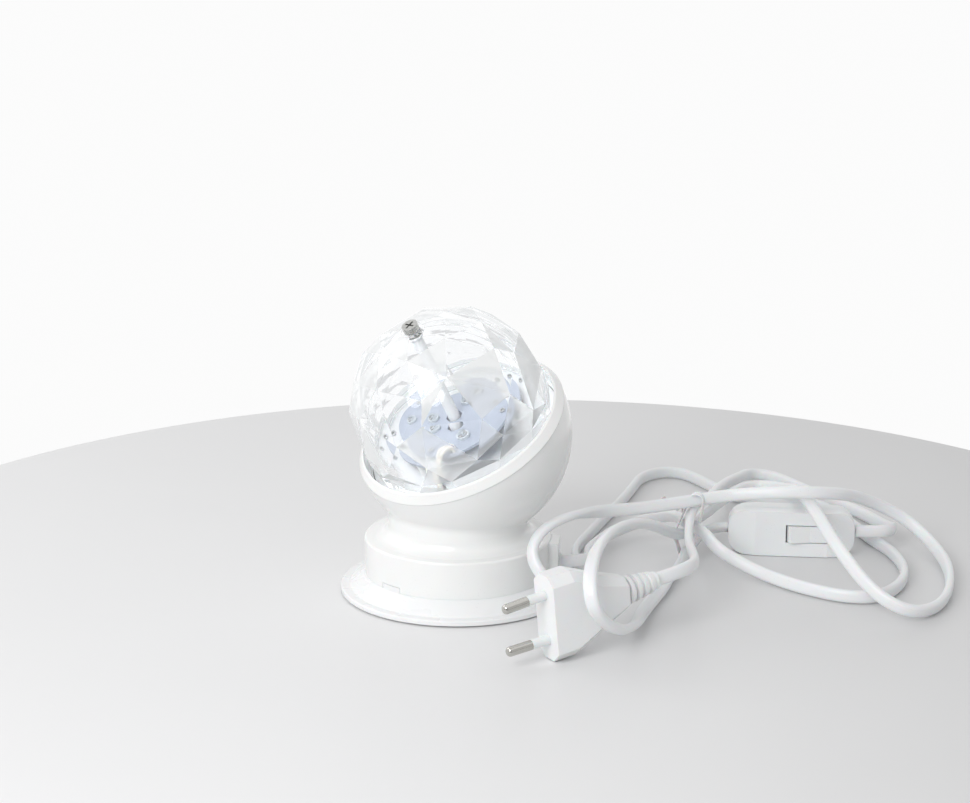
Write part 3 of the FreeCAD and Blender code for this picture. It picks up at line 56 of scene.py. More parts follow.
def make_camera():
    """A camera 0.86 m from the foot, turned round the lamp and pitched down at it."""
    turn, pitch = math.radians(CAMERA_TURN), math.radians(CAMERA_PITCH)
    right = Vector((math.cos(turn), math.sin(turn), 0))
    ahead = Vector((-math.sin(turn) * math.cos(pitch), math.cos(turn) * math.cos(pitch), -math.sin(pitch)))
    axes = Matrix((right, right.cross(ahead), -ahead)).transposed()
    data = bpy.data.cameras.new("camera")
    data.sensor_fit = "HORIZONTAL"
    data.sensor_width = SENSOR_WIDTH
    data.lens = LENS
    data.clip_start = 0.01
    camera = bpy.data.objects.new("camera", data)
    camera.matrix_world = Matrix.Translation(CAMERA_PLACE) @ axes.to_4x4()
    collection.objects.link(camera)
    scene.camera = camera


make_camera()


# Helpers for meshes

def mesh_piece(name, points, faces, body, uv=None):
    """A smooth piece from an array of points and a list of faces, riding on a body.

    uv holds one pair for each corner of each face."""
    mesh = bpy.data.meshes.new(name)
    mesh.from_pydata(np.asarray(points).tolist(), [], faces)
    if uv is not None:
        layer = mesh.uv_layers.new(name="UVMap")
        layer.data.foreach_set("uv", np.asarray(uv, np.float32).ravel())
    mesh.polygons.foreach_set("use_smooth", [True] * len(mesh.polygons))
    mesh.update()
    piece = bpy.data.objects.new(name, mesh)
    collection.objects.link(piece)
    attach(piece, body)
    return piece


def grid_faces(rows, columns, looped=False):
    """Quads of a grid whose columns join round and, where looped, whose rows do too; they face outwards."""
    i, j = np.meshgrid(np.arange(rows if looped else rows - 1), np.arange(columns), indexing="ij")
    here, there, beside = i * columns, (i + 1) % rows * columns, (j + 1) % columns
    return np.stack([here + j, here + beside, there + beside, there + j], -1).reshape(-1, 4)


def unit(vectors):
    """Each vector scaled to a length of one."""
    return vectors / np.maximum(np.linalg.norm(vectors, axis=-1, keepdims=True), 1e-12)


def smoothed(values, reach):
    """Each row becomes the mean of its neighbours, weighted by a bell curve reach rows wide."""
    steps = np.arange(-3 * reach, 3 * reach + 1)
    bell = np.exp(-0.5 * (steps / reach) ** 2)
    bell /= bell.sum()
    padded = np.pad(values, ((3 * reach, 3 * reach), (0, 0)), mode="edge")
    return np.stack([np.convolve(column, bell, mode="valid") for column in padded.T], -1)


def spline_points(name, route):
    """Points along the smooth line that has the route's points as its control points."""
    data = bpy.data.curves.new(name, "CURVE")
    data.dimensions = "3D"
    spline = data.splines.new("NURBS")
    spline.points.add(len(route) - 1)
    spline.points.foreach_set("co", np.c_[np.array(route), np.ones(len(route))].ravel())
    spline.order_u = 3
    spline.use_endpoint_u = True
    spline.resolution_u = 14
    line = bpy.data.objects.new(name, data)
    read = bpy.data.meshes.new_from_object(line)
    points = np.empty(len(read.vertices) * 3)
    read.vertices.foreach_get("co", points)
    bpy.data.objects.remove(line)
    bpy.data.meshes.remove(read)
    bpy.data.curves.remove(data)
    return points.reshape(-1, 3)


def even_points(points, spacing):
    """The same line with its points at even distances along it."""
    along = np.r_[0, np.cumsum(np.linalg.norm(np.diff(points, axis=0), axis=1))]
    wanted = np.linspace(0, along[-1], int(round(along[-1] / spacing)) + 1)
    return np.stack([np.interp(wanted, along, column) for column in points.T], -1)


def oblong(sides, width, thickness, wide_power, thin_power):
    """A rounded oblong's outline along its wide and its thin axis, squarer as the powers get smaller."""
    around = np.linspace(0, 2 * np.pi, sides, endpoint=False)
    wide = np.sign(np.cos(around)) * np.abs(np.cos(around)) ** wide_power * width / 2
    thin = np.sign(np.sin(around)) * np.abs(np.sin(around)) ** thin_power * thickness / 2
    return wide, thin


def swept(line, wide, thin, outline):
    """The outline's points at each point of a line, set along the wide and thin axes there."""
    a, b = outline
    rows = line[:, None] + wide[:, None] * a[None, :, None] + thin[:, None] * b[None, :, None]
    return rows.reshape(-1, 3)


# Cords, their points in metres as in the part's source

LAMP_SIDE = [
    (0.02128, 0.01662, 0.0126), (0.04452, 0.03478, 0.0126), (0.0264, 0.0533, 0.008),
    (0.0175, 0.0675, 0.0055), (0.012, 0.08, 0.0045), (0.0075, 0.094, 0.0042), (0.0105, 0.108, 0.006),
    (0.02, 0.1135, 0.0098), (0.032, 0.107, 0.0142), (0.0475, 0.0975, 0.0161), (0.0595, 0.094, 0.0152),
    (0.0697, 0.0885, 0.012), (0.0792, 0.093, 0.0065), (0.0913, 0.0956, 0.003), (0.111, 0.0935, 0.003),
    (0.1317, 0.0964, 0.003), (0.1422, 0.1065, 0.003), (0.1404, 0.1253, 0.003), (0.1314, 0.1434, 0.003),
    (0.114, 0.16, 0.003), (0.094, 0.1705, 0.003), (0.075, 0.183, 0.003), (0.054, 0.1945, 0.003),
    (0.037, 0.194, 0.003), (0.0245, 0.1825, 0.003), (0.012, 0.178, 0.003), (-0.005, 0.1835, 0.003),
    (-0.02, 0.1895, 0.003), (-0.033, 0.1925, 0.003), (-0.0415, 0.184, 0.003), (-0.0405, 0.17, 0.003),
    (-0.0325, 0.155, 0.003), (-0.022, 0.134, 0.003), (-0.0125, 0.112, 0.003), (-0.001, 0.087, 0.003),
    (0.0105, 0.0625, 0.003), (0.024, 0.0498, 0.003), (0.039, 0.0403, 0.003), (0.0525, 0.0298, 0.004),
    (0.061, 0.016, 0.0065), (0.061, 0.0032, 0.01), (0.0525, -0.0044, 0.018), (0.0461, -0.0042, 0.025),
    (0.0442, 0, 0.031), (0.0435, 0.0095, 0.035), (0.0425, 0.026, 0.0355), (0.039, 0.046, 0.0315),
    (0.043, 0.069, 0.0284), (0.0495, 0.0935, 0.0275), (0.057, 0.109, 0.0282), (0.068, 0.116, 0.0302),
    (0.0805, 0.1225, 0.032), (0.09, 0.131, 0.032), (0.095, 0.1435, 0.0298), (0.095, 0.158, 0.0254),
    (0.0985, 0.1715, 0.019), (0.1075, 0.181, 0.012), (0.122, 0.18, 0.004), (0.1435, 0.159, 0.003),
    (0.1605, 0.131, 0.003), (0.1665, 0.11, 0.003), (0.164, 0.096, 0.0045), (0.1545, 0.091, 0.0085),
    (0.1435, 0.0915, 0.014), (0.132, 0.0955, 0.02), (0.1165, 0.106, 0.024), (0.097, 0.124, 0.026),
    (0.0795, 0.14, 0.026), (0.063, 0.155, 0.0225), (0.05, 0.17, 0.0165), (0.0385, 0.181, 0.012),
    (0.0285, 0.1865, 0.0098), (0.0205, 0.1845, 0.0089), (0.0182, 0.1765, 0.0088),
    (0.021, 0.1635, 0.009), (0.025, 0.149, 0.0092), (0.031, 0.1315, 0.0092), (0.036, 0.113, 0.0094),
    (0.0445, 0.0985, 0.0094), (0.051, 0.08, 0.017), (0.056, 0.06, 0.0265), (0.062, 0.039, 0.033),
    (0.0705, 0.018, 0.0368), (0.081, -0.0025, 0.038), (0.093, -0.0205, 0.038), (0.101, -0.031, 0.034),
    (0.104, -0.0325, 0.026), (0.103, -0.0245, 0.017), (0.1015, -0.012, 0.0095), (0.0955, 0.004, 0.0063),
    (0.085, 0.02, 0.004), (0.076, 0.038, 0.003), (0.069, 0.054, 0.003), (0.0626, 0.068, 0.003),
    (0.056, 0.0825, 0.0032), (0.0495, 0.093, 0.0034), (0.0454, 0.1013, 0.0031),
    (0.0432, 0.1084, 0.0054), (0.0472, 0.11469, 0.0105), (0.0531, 0.1193, 0.0105)]

PLUG_SIDE = [
    (0.09723, 0.15378, 0.0105), (0.10314, 0.1584, 0.0105), (0.1074, 0.1655, 0.0102),
    (0.105, 0.174, 0.0088), (0.0985, 0.182, 0.0056), (0.089, 0.19, 0.0032), (0.076, 0.197, 0.003),
    (0.0615, 0.202, 0.003), (0.047, 0.206, 0.003), (0.0315, 0.211, 0.003), (0.0165, 0.2164, 0.003),
    (0.0045, 0.2195, 0.003), (-0.0033, 0.216, 0.0033), (-0.0034, 0.2075, 0.0046),
    (0.002, 0.195, 0.0068), (0.0088, 0.1775, 0.0098), (0.0155, 0.163, 0.012), (0.0243, 0.146, 0.015),
    (0.0335, 0.129, 0.0176), (0.0445, 0.105, 0.0216), (0.053, 0.0915, 0.0216), (0.062, 0.079, 0.02),
    (0.072, 0.067, 0.019), (0.083, 0.056, 0.02), (0.0925, 0.045, 0.022), (0.0985, 0.034, 0.0238),
    (0.09942, 0.02283, 0.02418), (0.09701, 0.01318, 0.02314)]

CORD_WIDTH, CORD_THICKNESS = 0.0056, 0.0037
CORD_SIDES, CORD_STEP = 20, 0.0014
CORD_POWER = 2 / 2.6
# How far the wide axis remembers its side, and the turning per step at which a bend counts in full
LAY_MEMORY, FULL_TURN = 0.96, 0.03
# Reach in steps of the two smoothings of the wide axis, and the pull upwards on straight runs
WIDE_REACH, LAST_REACH, UP_START, UP_PULL = 12, 6, 1e-3, 1e-4


def cord_axes(path):
    """The wide and thin axes along a cord.

    The wide one is the line's turning axis, kept the same way up and evened out along the cord."""
    tangent = unit(np.gradient(path, axis=0))
    turning = np.cross(tangent, np.gradient(tangent, axis=0))
    lay = turning[0] + np.array([0, 0, UP_START])
    for index, vector in enumerate(turning):
        if vector @ lay < 0:
            turning[index] = -vector
        lay = LAY_MEMORY * lay + turning[index]
    share = np.minimum(np.linalg.norm(turning, axis=1), FULL_TURN)[:, None]
    wide = smoothed(unit(turning) * share, WIDE_REACH)
    wide = smoothed(unit(wide + np.array([0, 0, UP_PULL])), LAST_REACH)
    wide = unit(wide - (wide * tangent).sum(1, keepdims=True) * tangent)
    return wide, np.cross(tangent, wide)


def flat_cord(name, node, route):
    """A flat two-core cord: an oval, |a/w|^2.6 + |b/t|^2.6 = 1, stands square to the line at each point.

    It leaves what it comes from at the route's first point, and the pieces are those on it."""
    path = even_points(spline_points(name, route), CORD_STEP)
    wide, thin = cord_axes(path)
    ring = swept(path, wide, thin, oblong(CORD_SIDES, CORD_WIDTH, CORD_THICKNESS, CORD_POWER, CORD_POWER))
    count, columns = len(path), CORD_SIDES
    points = np.concatenate([ring, path[:1], path[-1:]])
    quads = grid_faces(count, columns)
    j = np.arange(columns)
    beside, last = (j + 1) % columns, (count - 1) * columns
    start = np.stack([np.full(columns, count * columns), beside, j], -1)
    end = np.stack([np.full(columns, count * columns + 1), last + j, last + beside], -1)
    along = np.arange(count) * CORD_STEP
    corner = np.array([[0, 0], [0, 1], [1, 1], [1, 0]])
    i, k = np.divmod(np.arange(len(quads)), columns)
    uv = np.stack([along[i[:, None] + corner[:, 0]], (k[:, None] + corner[:, 1]) / columns], -1)
    caps = np.zeros(((len(start) + len(end)) * 3, 2))
    piece = mesh_piece(name, points, quads.tolist() + start.tolist() + end.tolist(), "lamp",
                       uv=np.concatenate([uv.reshape(-1, 2), caps]))
    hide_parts(node)
    return piece


# Tie round the bundle of cords, its places measured sideways and up from its middle

TIE_TURN, TIE_MIDDLE = 25, (0.0493, 0.0966, 0)
STRANDS = [(-0.0014, 0.0033), (-0.0040, 0.0110), (0.0009, 0.0158), (0.0005, 0.0216), (0.0027, 0.0277)]
STRAND_REACH, TIE_LIFT = 0.0031, 0.0005
BAND_WIDTH, BAND_THICKNESS, BAND_STEPS = 0.0056, 0.0006, 120
END_WIDTH, END_THICKNESS, END_STEPS, END_TWISTS = 0.0026, 0.0005, 60, 2.25
END_START, END_RUN, END_SLANT = (-0.0034, 0.0232), (-0.0105, 0.0030), 0.002
# The two ends lie this far from their shared line, and part by as much as the flare beyond the split
END_SPREAD, END_FLARE, END_SPLIT, FLARE_POWER = 0.0007, 0.0014, 0.55, 1.3


def ribbon(name, line, across, width, thickness, closed=False):
    """A flat strip along a line: a rounded oblong square to it at each point, its wide way along across."""
    tangent = np.roll(line, -1, 0) - np.roll(line, 1, 0) if closed else np.gradient(line, axis=0)
    tangent = unit(tangent)
    wide = unit(across - (across * tangent).sum(1, keepdims=True) * tangent)
    sides, rows = 12, len(line)
    points = swept(line, wide, np.cross(tangent, wide), oblong(sides, width, thickness, 0.5, 0.8))
    faces = grid_faces(rows, sides, looped=closed).tolist()
    if not closed:
        faces += [list(range(sides))[::-1], list(range((rows - 1) * sides, rows * sides))]
    return mesh_piece(name, points, faces, "lamp")


def strand_outline():
    """Points at even distances round the strands.

    The outline at an angle is the strand centre that reaches furthest that way, plus the strand's reach."""
    centres = np.array(STRANDS)
    angle = np.linspace(0, 2 * np.pi, 96, endpoint=False)
    way = np.stack([np.cos(angle), np.sin(angle)], -1)
    outline = centres[np.argmax(way @ centres.T, 1)] + way * STRAND_REACH
    outline[:, 1] = np.maximum(outline[:, 1], TIE_LIFT)
    along = np.r_[0, np.cumsum(np.linalg.norm(np.roll(outline, -1, 0) - outline, axis=1))]
    wanted = np.linspace(0, along[-1], BAND_STEPS + 1)[:-1]
    shut = np.vstack([outline, outline[:1]])
    return np.stack([np.interp(wanted, along, column) for column in shut.T], -1)


def make_tie():
    """A plastic tie: a strip round the strands, its two ends twisted together."""
    turn = math.radians(TIE_TURN)
    sideways = np.array([math.cos(turn), math.sin(turn), 0])
    upwards = np.array([0, 0, 1])
    square = np.cross(sideways, upwards)
    middle = np.array(TIE_MIDDLE)
    outline = strand_outline()
    loop = middle + outline[:, :1] * sideways + outline[:, 1:] * upwards
    band = ribbon("tie_band", loop, np.tile(square, (len(loop), 1)), BAND_WIDTH, BAND_THICKNESS, closed=True)
    start = middle + sideways * END_START[0] + upwards * END_START[1]
    run = sideways * END_RUN[0] + upwards * END_RUN[1] + square * END_SLANT
    pieces = [band]
    for side in (0, 1):
        s = np.linspace(0, 1, END_STEPS)
        phase = math.pi * side + s * math.pi * 2 * END_TWISTS
        flare = np.clip(s - END_SPLIT, 0, 1) ** FLARE_POWER / (1 - END_SPLIT) ** FLARE_POWER
        centre = start + s[:, None] * run
        lift = unit(np.cross(np.gradient(centre, axis=0), square))
        turned = np.cos(phase)[:, None] * lift + np.sin(phase)[:, None] * square
        line = centre + turned * (END_SPREAD + END_FLARE * flare)[:, None]
        pieces.append(ribbon("tie_end_%d" % side, line, turned, END_WIDTH, END_THICKNESS))
    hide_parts("cord_tie")
    return pieces


TIE = make_tie()
CORDS = [
    flat_cord("lamp_cord", "cord_lamp_side", LAMP_SIDE),
    flat_cord("plug_cord", "cord_plug_side", PLUG_SIDE)]


# Node groups shared by the materials

def new_group(name, inputs, outputs):
    """An empty group with its sockets, and its input and output nodes."""
    group = bpy.data.node_groups.new(name, "ShaderNodeTree")
    for label, kind, value in inputs:
        socket = group.interface.new_socket(label, in_out="INPUT", socket_type=kind)
        if value is not None:
            socket.default_value = value
    for label, kind in outputs:
        group.interface.new_socket(label, in_out="OUTPUT", socket_type=kind)
    return group, group.nodes.new("NodeGroupInput"), group.nodes.new("NodeGroupOutput")


def feed(tree, socket, value):
    """Links the input to an output socket, or sets it to a plain value."""
    if isinstance(value, bpy.types.NodeSocket):
        tree.links.new(value, socket)
    else:
        socket.default_value = value


def put(tree, kind, **sockets):
    """A shader node with its inputs fed, each named by its label or, as in i0, by its number."""
    node = tree.nodes.new(kind)
    for key, value in sockets.items():
        feed(tree, node.inputs[int(key[1:]) if key[1:].isdigit() else key], value)
    return node


def maths(tree, operation, a, b=0.0, c=0.0):
    node = put(tree, "ShaderNodeMath", i0=a, i1=b, i2=c)
    node.operation = operation
    return node.outputs[0]


def mixed(tree, factor, a, b):
    """The mix of two colours; a colour mix has them at inputs 6 and 7 and its result at output 2."""
    node = put(tree, "ShaderNodeMix")
    node.data_type = "RGBA"
    for index, value in ((0, factor), (6, a), (7, b)):
        feed(tree, node.inputs[index], value)
    return node.outputs[2]


def make_moulding():
    """Moulded plastic: slow flow marks shade the colour and gloss, and a fine grain gives the height."""
    tree, start, end = new_group("moulding", [
        ("Vector", "NodeSocketVector", None), ("Color", "NodeSocketColor", (0.8, 0.8, 0.8, 1)),
        ("Shade", "NodeSocketColor", (0.7, 0.7, 0.7, 1)), ("Flow", "NodeSocketFloat", 40.0),
        ("Grain", "NodeSocketFloat", 1600.0), ("Roughness", "NodeSocketFloat", 0.3),
        ("Spread", "NodeSocketFloat", 0.1)],
        [("Color", "NodeSocketColor"), ("Roughness", "NodeSocketFloat"), ("Height", "NodeSocketFloat")])
    flow = put(tree, "ShaderNodeTexNoise", Vector=start.outputs["Vector"], Scale=start.outputs["Flow"],
               Detail=3.0, Roughness=0.55, Distortion=0.6)
    grain = put(tree, "ShaderNodeTexNoise", Vector=start.outputs["Vector"], Scale=start.outputs["Grain"],
                Detail=2.0, Roughness=0.5)
    tree.links.new(mixed(tree, flow.outputs[0], start.outputs["Color"], start.outputs["Shade"]),
                   end.inputs["Color"])
    change = maths(tree, "SUBTRACT", flow.outputs[0], 0.5)
    rough = maths(tree, "MULTIPLY_ADD", change, start.outputs["Spread"], start.outputs["Roughness"])
    tree.links.new(rough, end.inputs["Roughness"])
    tree.links.new(grain.outputs[0], end.inputs["Height"])
    return tree


def make_dust():
    """Fine dust: small round specks, thinned out by a slow pattern, that dull and grey what they lie on."""
    tree, start, end = new_group("dust", [
        ("Vector", "NodeSocketVector", None), ("Color", "NodeSocketColor", (0.8, 0.8, 0.8, 1)),
        ("Speck", "NodeSocketColor", (0.5, 0.5, 0.48, 1)), ("Scale", "NodeSocketFloat", 900.0),
        ("Amount", "NodeSocketFloat", 0.3)],
        [("Color", "NodeSocketColor"), ("Mask", "NodeSocketFloat")])
    cells = put(tree, "ShaderNodeTexVoronoi", Vector=start.outputs["Vector"], Scale=start.outputs["Scale"])
    patches = put(tree, "ShaderNodeTexNoise", Vector=start.outputs["Vector"], Scale=55.0, Detail=2.0)
    near = maths(tree, "LESS_THAN", cells.outputs["Distance"], 0.13)
    where = maths(tree, "GREATER_THAN", patches.outputs[0], 0.56)
    mask = maths(tree, "MULTIPLY", maths(tree, "MULTIPLY", near, where), start.outputs["Amount"])
    tree.links.new(mixed(tree, mask, start.outputs["Color"], start.outputs["Speck"]), end.inputs["Color"])
    tree.links.new(mask, end.inputs["Mask"])
    return tree


def make_brushing():
    """Worked metal: fine streaks along X and Y shade the colour and the gloss."""
    tree, start, end = new_group("brushing", [
        ("Vector", "NodeSocketVector", None), ("Color", "NodeSocketColor", (0.8, 0.8, 0.8, 1)),
        ("Shade", "NodeSocketColor", (0.5, 0.5, 0.5, 1)), ("Scale", "NodeSocketFloat", 300.0),
        ("Roughness", "NodeSocketFloat", 0.2), ("Spread", "NodeSocketFloat", 0.2)],
        [("Color", "NodeSocketColor"), ("Roughness", "NodeSocketFloat"), ("Height", "NodeSocketFloat")])
    stretched = put(tree, "ShaderNodeMapping", Vector=start.outputs["Vector"])
    stretched.inputs["Scale"].default_value = (1, 1, 14)
    streaks = put(tree, "ShaderNodeTexNoise", Vector=stretched.outputs[0], Scale=start.outputs["Scale"],
                  Detail=4.0, Roughness=0.6)
    tree.links.new(mixed(tree, streaks.outputs[0], start.outputs["Color"], start.outputs["Shade"]),
                   end.inputs["Color"])
    change = maths(tree, "SUBTRACT", streaks.outputs[0], 0.5)
    rough = maths(tree, "MULTIPLY_ADD", change, start.outputs["Spread"], start.outputs["Roughness"])
    tree.links.new(rough, end.inputs["Roughness"])
    tree.links.new(streaks.outputs[0], end.inputs["Height"])
    return tree


MOULDING, DUST, BRUSHING = make_moulding(), make_dust(), make_brushing()


def new_material(name):
    """A material with its tree, its shader and the node that says where a point lies."""
    material = bpy.data.materials.new(name)
    material.use_nodes = True
    tree = material.node_tree
    return material, tree, tree.nodes["Principled BSDF"], tree.nodes.new("ShaderNodeTexCoord")


def add_group(tree, group, **sockets):
    node = put(tree, "ShaderNodeGroup")
    node.node_tree = group
    for key, value in sockets.items():
        feed(tree, node.inputs[key], value)
    return node


def edge_and_bump(tree, shader, height, strength, depth, edge):
    """Rounds the sharp edges that light falls on and adds the surface's fine height."""
    bump = put(tree, "ShaderNodeBump", Strength=strength, Distance=depth, Height=height)
    if edge:
        rounded = put(tree, "ShaderNodeBevel", Radius=edge)
        rounded.samples = 4
        tree.links.new(rounded.outputs[0], bump.inputs["Normal"])
    tree.links.new(bump.outputs[0], shader.inputs["Normal"])


def plastic(name, color, shade, roughness, spread=0.1, flow=40.0, grain=1600.0, bump=0.06, edge=0.0003,
            dust=0.0, coat=0.0, sub=0.0):
    """A moulded plastic or rubber finish from the moulding and dust groups."""
    material, tree, shader, place = new_material(name)
    where = place.outputs["Object"]
    surface = add_group(tree, MOULDING, Vector=where, Color=(*color, 1), Shade=(*shade, 1), Flow=flow,
                        Grain=grain, Roughness=roughness, Spread=spread)
    tone = surface.outputs["Color"]
    if dust:
        specks = add_group(tree, DUST, Vector=where, Color=tone, Amount=dust)
        tone = specks.outputs["Color"]
    tree.links.new(tone, shader.inputs["Base Color"])
    tree.links.new(surface.outputs["Roughness"], shader.inputs["Roughness"])
    shader.inputs["Coat Weight"].default_value = coat
    shader.inputs["Coat Roughness"].default_value = 0.08
    shader.inputs["Subsurface Weight"].default_value = sub
    shader.inputs["Subsurface Scale"].default_value = 0.002
    edge_and_bump(tree, shader, surface.outputs["Height"], bump, 0.0002, edge)
    return material


def metal(name, color, shade, roughness, spread=0.15, scale=300.0, bump=0.04, edge=0.0002):
    """A worked or plated metal finish from the brushing group."""
    material, tree, shader, place = new_material(name)
    surface = add_group(tree, BRUSHING, Vector=place.outputs["Object"], Color=(*color, 1), Shade=(*shade, 1),
                        Scale=scale, Roughness=roughness, Spread=spread)
    tree.links.new(surface.outputs["Color"], shader.inputs["Base Color"])
    tree.links.new(surface.outputs["Roughness"], shader.inputs["Roughness"])
    shader.inputs["Metallic"].default_value = 1.0
    edge_and_bump(tree, shader, surface.outputs["Height"], bump, 0.0001, edge)
    return material


# Bounces after which clear plastic shows a painted pale glow in place of the light inside it, and the noise
# values between which a facet's painted reflection grows from none to full
PAINTED_GLOW_DEPTH, PAINTED_REFLECTION_FROM, PAINTED_REFLECTION_FULL = 5.5, 0.42, 0.60


def clear(name, color, roughness, ior, bump, painted_reflection=0.0):
    """Clear moulded plastic, which lamps shine through, so that what is inside is lit.

    A painted pale glow, an emission, stands in for light that has bounced too often inside it. Seen from
    the camera, each facet carries its own share of a painted reflection, a plain white diffuse picked by
    the way it faces."""
    material, tree, shader, place = new_material(name)
    shader.inputs["Base Color"].default_value = (*color, 1)
    shader.inputs["Roughness"].default_value = roughness
    shader.inputs["IOR"].default_value = ior
    shader.inputs["Transmission Weight"].default_value = 1.0
    flow = put(tree, "ShaderNodeTexNoise", Vector=place.outputs["Object"], Scale=160.0, Detail=2.0)
    ripple = put(tree, "ShaderNodeBump", Strength=bump, Distance=0.0002, Height=flow.outputs[0])
    tree.links.new(ripple.outputs[0], shader.inputs["Normal"])
    ray = tree.nodes.new("ShaderNodeLightPath")
    through = put(tree, "ShaderNodeBsdfTransparent", Color=(0.94, 0.95, 0.96, 1))
    # Painted glow: a pale grey emission shown in place of light that has bounced too often
    painted_glow = put(tree, "ShaderNodeEmission", Color=(0.80, 0.82, 0.83, 1), Strength=1.0)
    late = maths(tree, "GREATER_THAN", ray.outputs["Ray Depth"], PAINTED_GLOW_DEPTH)
    trapped = put(tree, "ShaderNodeMixShader", i0=late, i1=shader.outputs[0], i2=painted_glow.outputs[0])
    # Painted reflection: a plain white diffuse mixed over some facets, for camera rays only
    if painted_reflection:
        shape = tree.nodes.new("ShaderNodeNewGeometry")
        facets = put(tree, "ShaderNodeTexNoise", Vector=shape.outputs["Normal"], Scale=9.0, Detail=1.0)
        painted_reflection_amount = put(tree, "ShaderNodeMapRange", i0=facets.outputs[0], i1=PAINTED_REFLECTION_FROM, i2=PAINTED_REFLECTION_FULL, i3=0.0,
                     i4=painted_reflection)
        share = maths(tree, "MULTIPLY", painted_reflection_amount.outputs[0], ray.outputs["Is Camera Ray"])
        white = put(tree, "ShaderNodeBsdfDiffuse", Color=(0.78, 0.79, 0.79, 1))
        trapped = put(tree, "ShaderNodeMixShader", i0=share, i1=trapped.outputs[0], i2=white.outputs[0])
    choice = put(tree, "ShaderNodeMixShader", i0=ray.outputs["Is Shadow Ray"], i1=trapped.outputs[0],
                 i2=through.outputs[0])
    tree.links.new(choice.outputs[0], tree.nodes["Material Output"].inputs["Surface"])
    return material


def cord_sheath():
    """Soft white cord sheath: faint lines run along it, from noise stretched along its own length map."""
    material, tree, shader, place = new_material("cord sheath")
    lines = put(tree, "ShaderNodeMapping", Vector=place.outputs["UV"])
    lines.inputs["Scale"].default_value = (18, 26, 1)
    surface = add_group(tree, MOULDING, Vector=lines.outputs[0], Color=(0.86, 0.875, 0.885, 1),
                        Shade=(0.80, 0.82, 0.835, 1), Flow=1.0, Grain=3.0, Roughness=0.36, Spread=0.12)
    specks = add_group(tree, DUST, Vector=place.outputs["Object"], Color=surface.outputs["Color"],
                       Amount=0.35)
    tree.links.new(specks.outputs["Color"], shader.inputs["Base Color"])
    tree.links.new(surface.outputs["Roughness"], shader.inputs["Roughness"])
    shader.inputs["Subsurface Weight"].default_value = 0.25
    shader.inputs["Subsurface Scale"].default_value = 0.0015
    edge_and_bump(tree, shader, surface.outputs["Height"], 0.12, 0.0002, 0)
    return material


FINISHES = {
    "white_abs": plastic("white gloss shell", (0.87, 0.875, 0.87), (0.84, 0.845, 0.84), 0.20, 0.08, dust=0.25,
                         coat=0.2, sub=0.08),
    "base_white": plastic("white foot", (0.85, 0.855, 0.86), (0.81, 0.82, 0.825), 0.28, 0.10, dust=0.3,
                          sub=0.08),
    "clear_plastic": clear("clear facets", (0.985, 0.99, 0.995), 0.01, 1.49, 0.03, 0.6),
    "clear_lens": clear("clear lens", (0.97, 0.98, 0.99), 0.03, 1.45, 0.05),
    "rubber_grey": plastic("foot rubber", (0.10, 0.10, 0.105), (0.07, 0.07, 0.075), 0.75, grain=2600.0,
                           bump=0.3),
    "nickel": metal("nickel plate", (0.66, 0.66, 0.64), (0.36, 0.36, 0.35), 0.08, 0.25, 420.0),
    "steel": metal("plain steel", (0.66, 0.67, 0.68), (0.54, 0.55, 0.56), 0.36, 0.2, 260.0),
    "brass": metal("contact brass", (0.70, 0.52, 0.24), (0.58, 0.42, 0.18), 0.28, 0.2, 260.0),
    "white_matte": plastic("white inner parts", (0.80, 0.81, 0.82), (0.76, 0.775, 0.785), 0.42, sub=0.05),
    "board_white": plastic("pale board", (0.42, 0.46, 0.54), (0.37, 0.41, 0.49), 0.36, flow=90.0, bump=0.03),
    "board_green": plastic("green board", (0.02, 0.16, 0.06), (0.015, 0.12, 0.05), 0.35, flow=90.0),
    "emitter_yellow": plastic("emitter coating", (0.56, 0.60, 0.64), (0.50, 0.54, 0.58), 0.4, flow=300.0),
    "copper": metal("enamelled copper", (0.55, 0.20, 0.09), (0.42, 0.14, 0.06), 0.26, 0.2, 700.0),
    "nylon_black": plastic("black nylon", (0.02, 0.02, 0.022), (0.014, 0.014, 0.016), 0.45),
    "nylon_natural": plastic("natural nylon", (0.78, 0.76, 0.68), (0.72, 0.70, 0.61), 0.38, sub=0.1),
    "magnet": plastic("dark magnet", (0.035, 0.035, 0.04), (0.05, 0.05, 0.055), 0.55, grain=3000.0,
                      bump=0.2),
    "part_yellow": plastic("yellow capacitor", (0.62, 0.34, 0.03), (0.55, 0.29, 0.02), 0.4),
    "part_blue": plastic("blue terminal", (0.02, 0.09, 0.28), (0.015, 0.07, 0.22), 0.4),
    "core_brown": plastic("brown core", (0.12, 0.045, 0.02), (0.09, 0.035, 0.015), 0.4),
    "lead_cream": plastic("cream lead", (0.84, 0.83, 0.78), (0.79, 0.77, 0.70), 0.4, sub=0.1),
    "cord_white": cord_sheath(),
    "switch_white": plastic("white switch and plug", (0.87, 0.88, 0.885), (0.83, 0.845, 0.855), 0.30, 0.1,
                            dust=0.3, sub=0.2, edge=0.0005),
    "tie_white": plastic("white tie", (0.86, 0.87, 0.875), (0.80, 0.81, 0.82), 0.25, sub=0.4, edge=0),
    "sleeve_white": plastic("pin sleeve", (0.83, 0.84, 0.84), (0.77, 0.78, 0.79), 0.3, sub=0.2),
    "chrome": metal("plated pins", (0.60, 0.59, 0.56), (0.47, 0.46, 0.43), 0.08, 0.1, 500.0),
}


def dress():
    """Each CAD node and each new piece gets the finish that its slot names."""
    for part in frame["record"]["subparts"]:
        data = nodes[part["node"]].data
        data.materials.clear()
        data.materials.append(FINISHES[part["material_slot"]])
    for pieces, slot in ((CORDS, "cord_white"), (TIE, "tie_white")):
        for piece in pieces:
            piece.data.materials.append(FINISHES[slot])


dress()


# Table, backdrop and lights, in metres and watts

TABLE_MIDDLE, TABLE_DROP = (0.0215, 0.015), 0.0002
TABLE_FLAT, TABLE_ROUND, TABLE_EDGE = 0.326, 0.003, 0.02
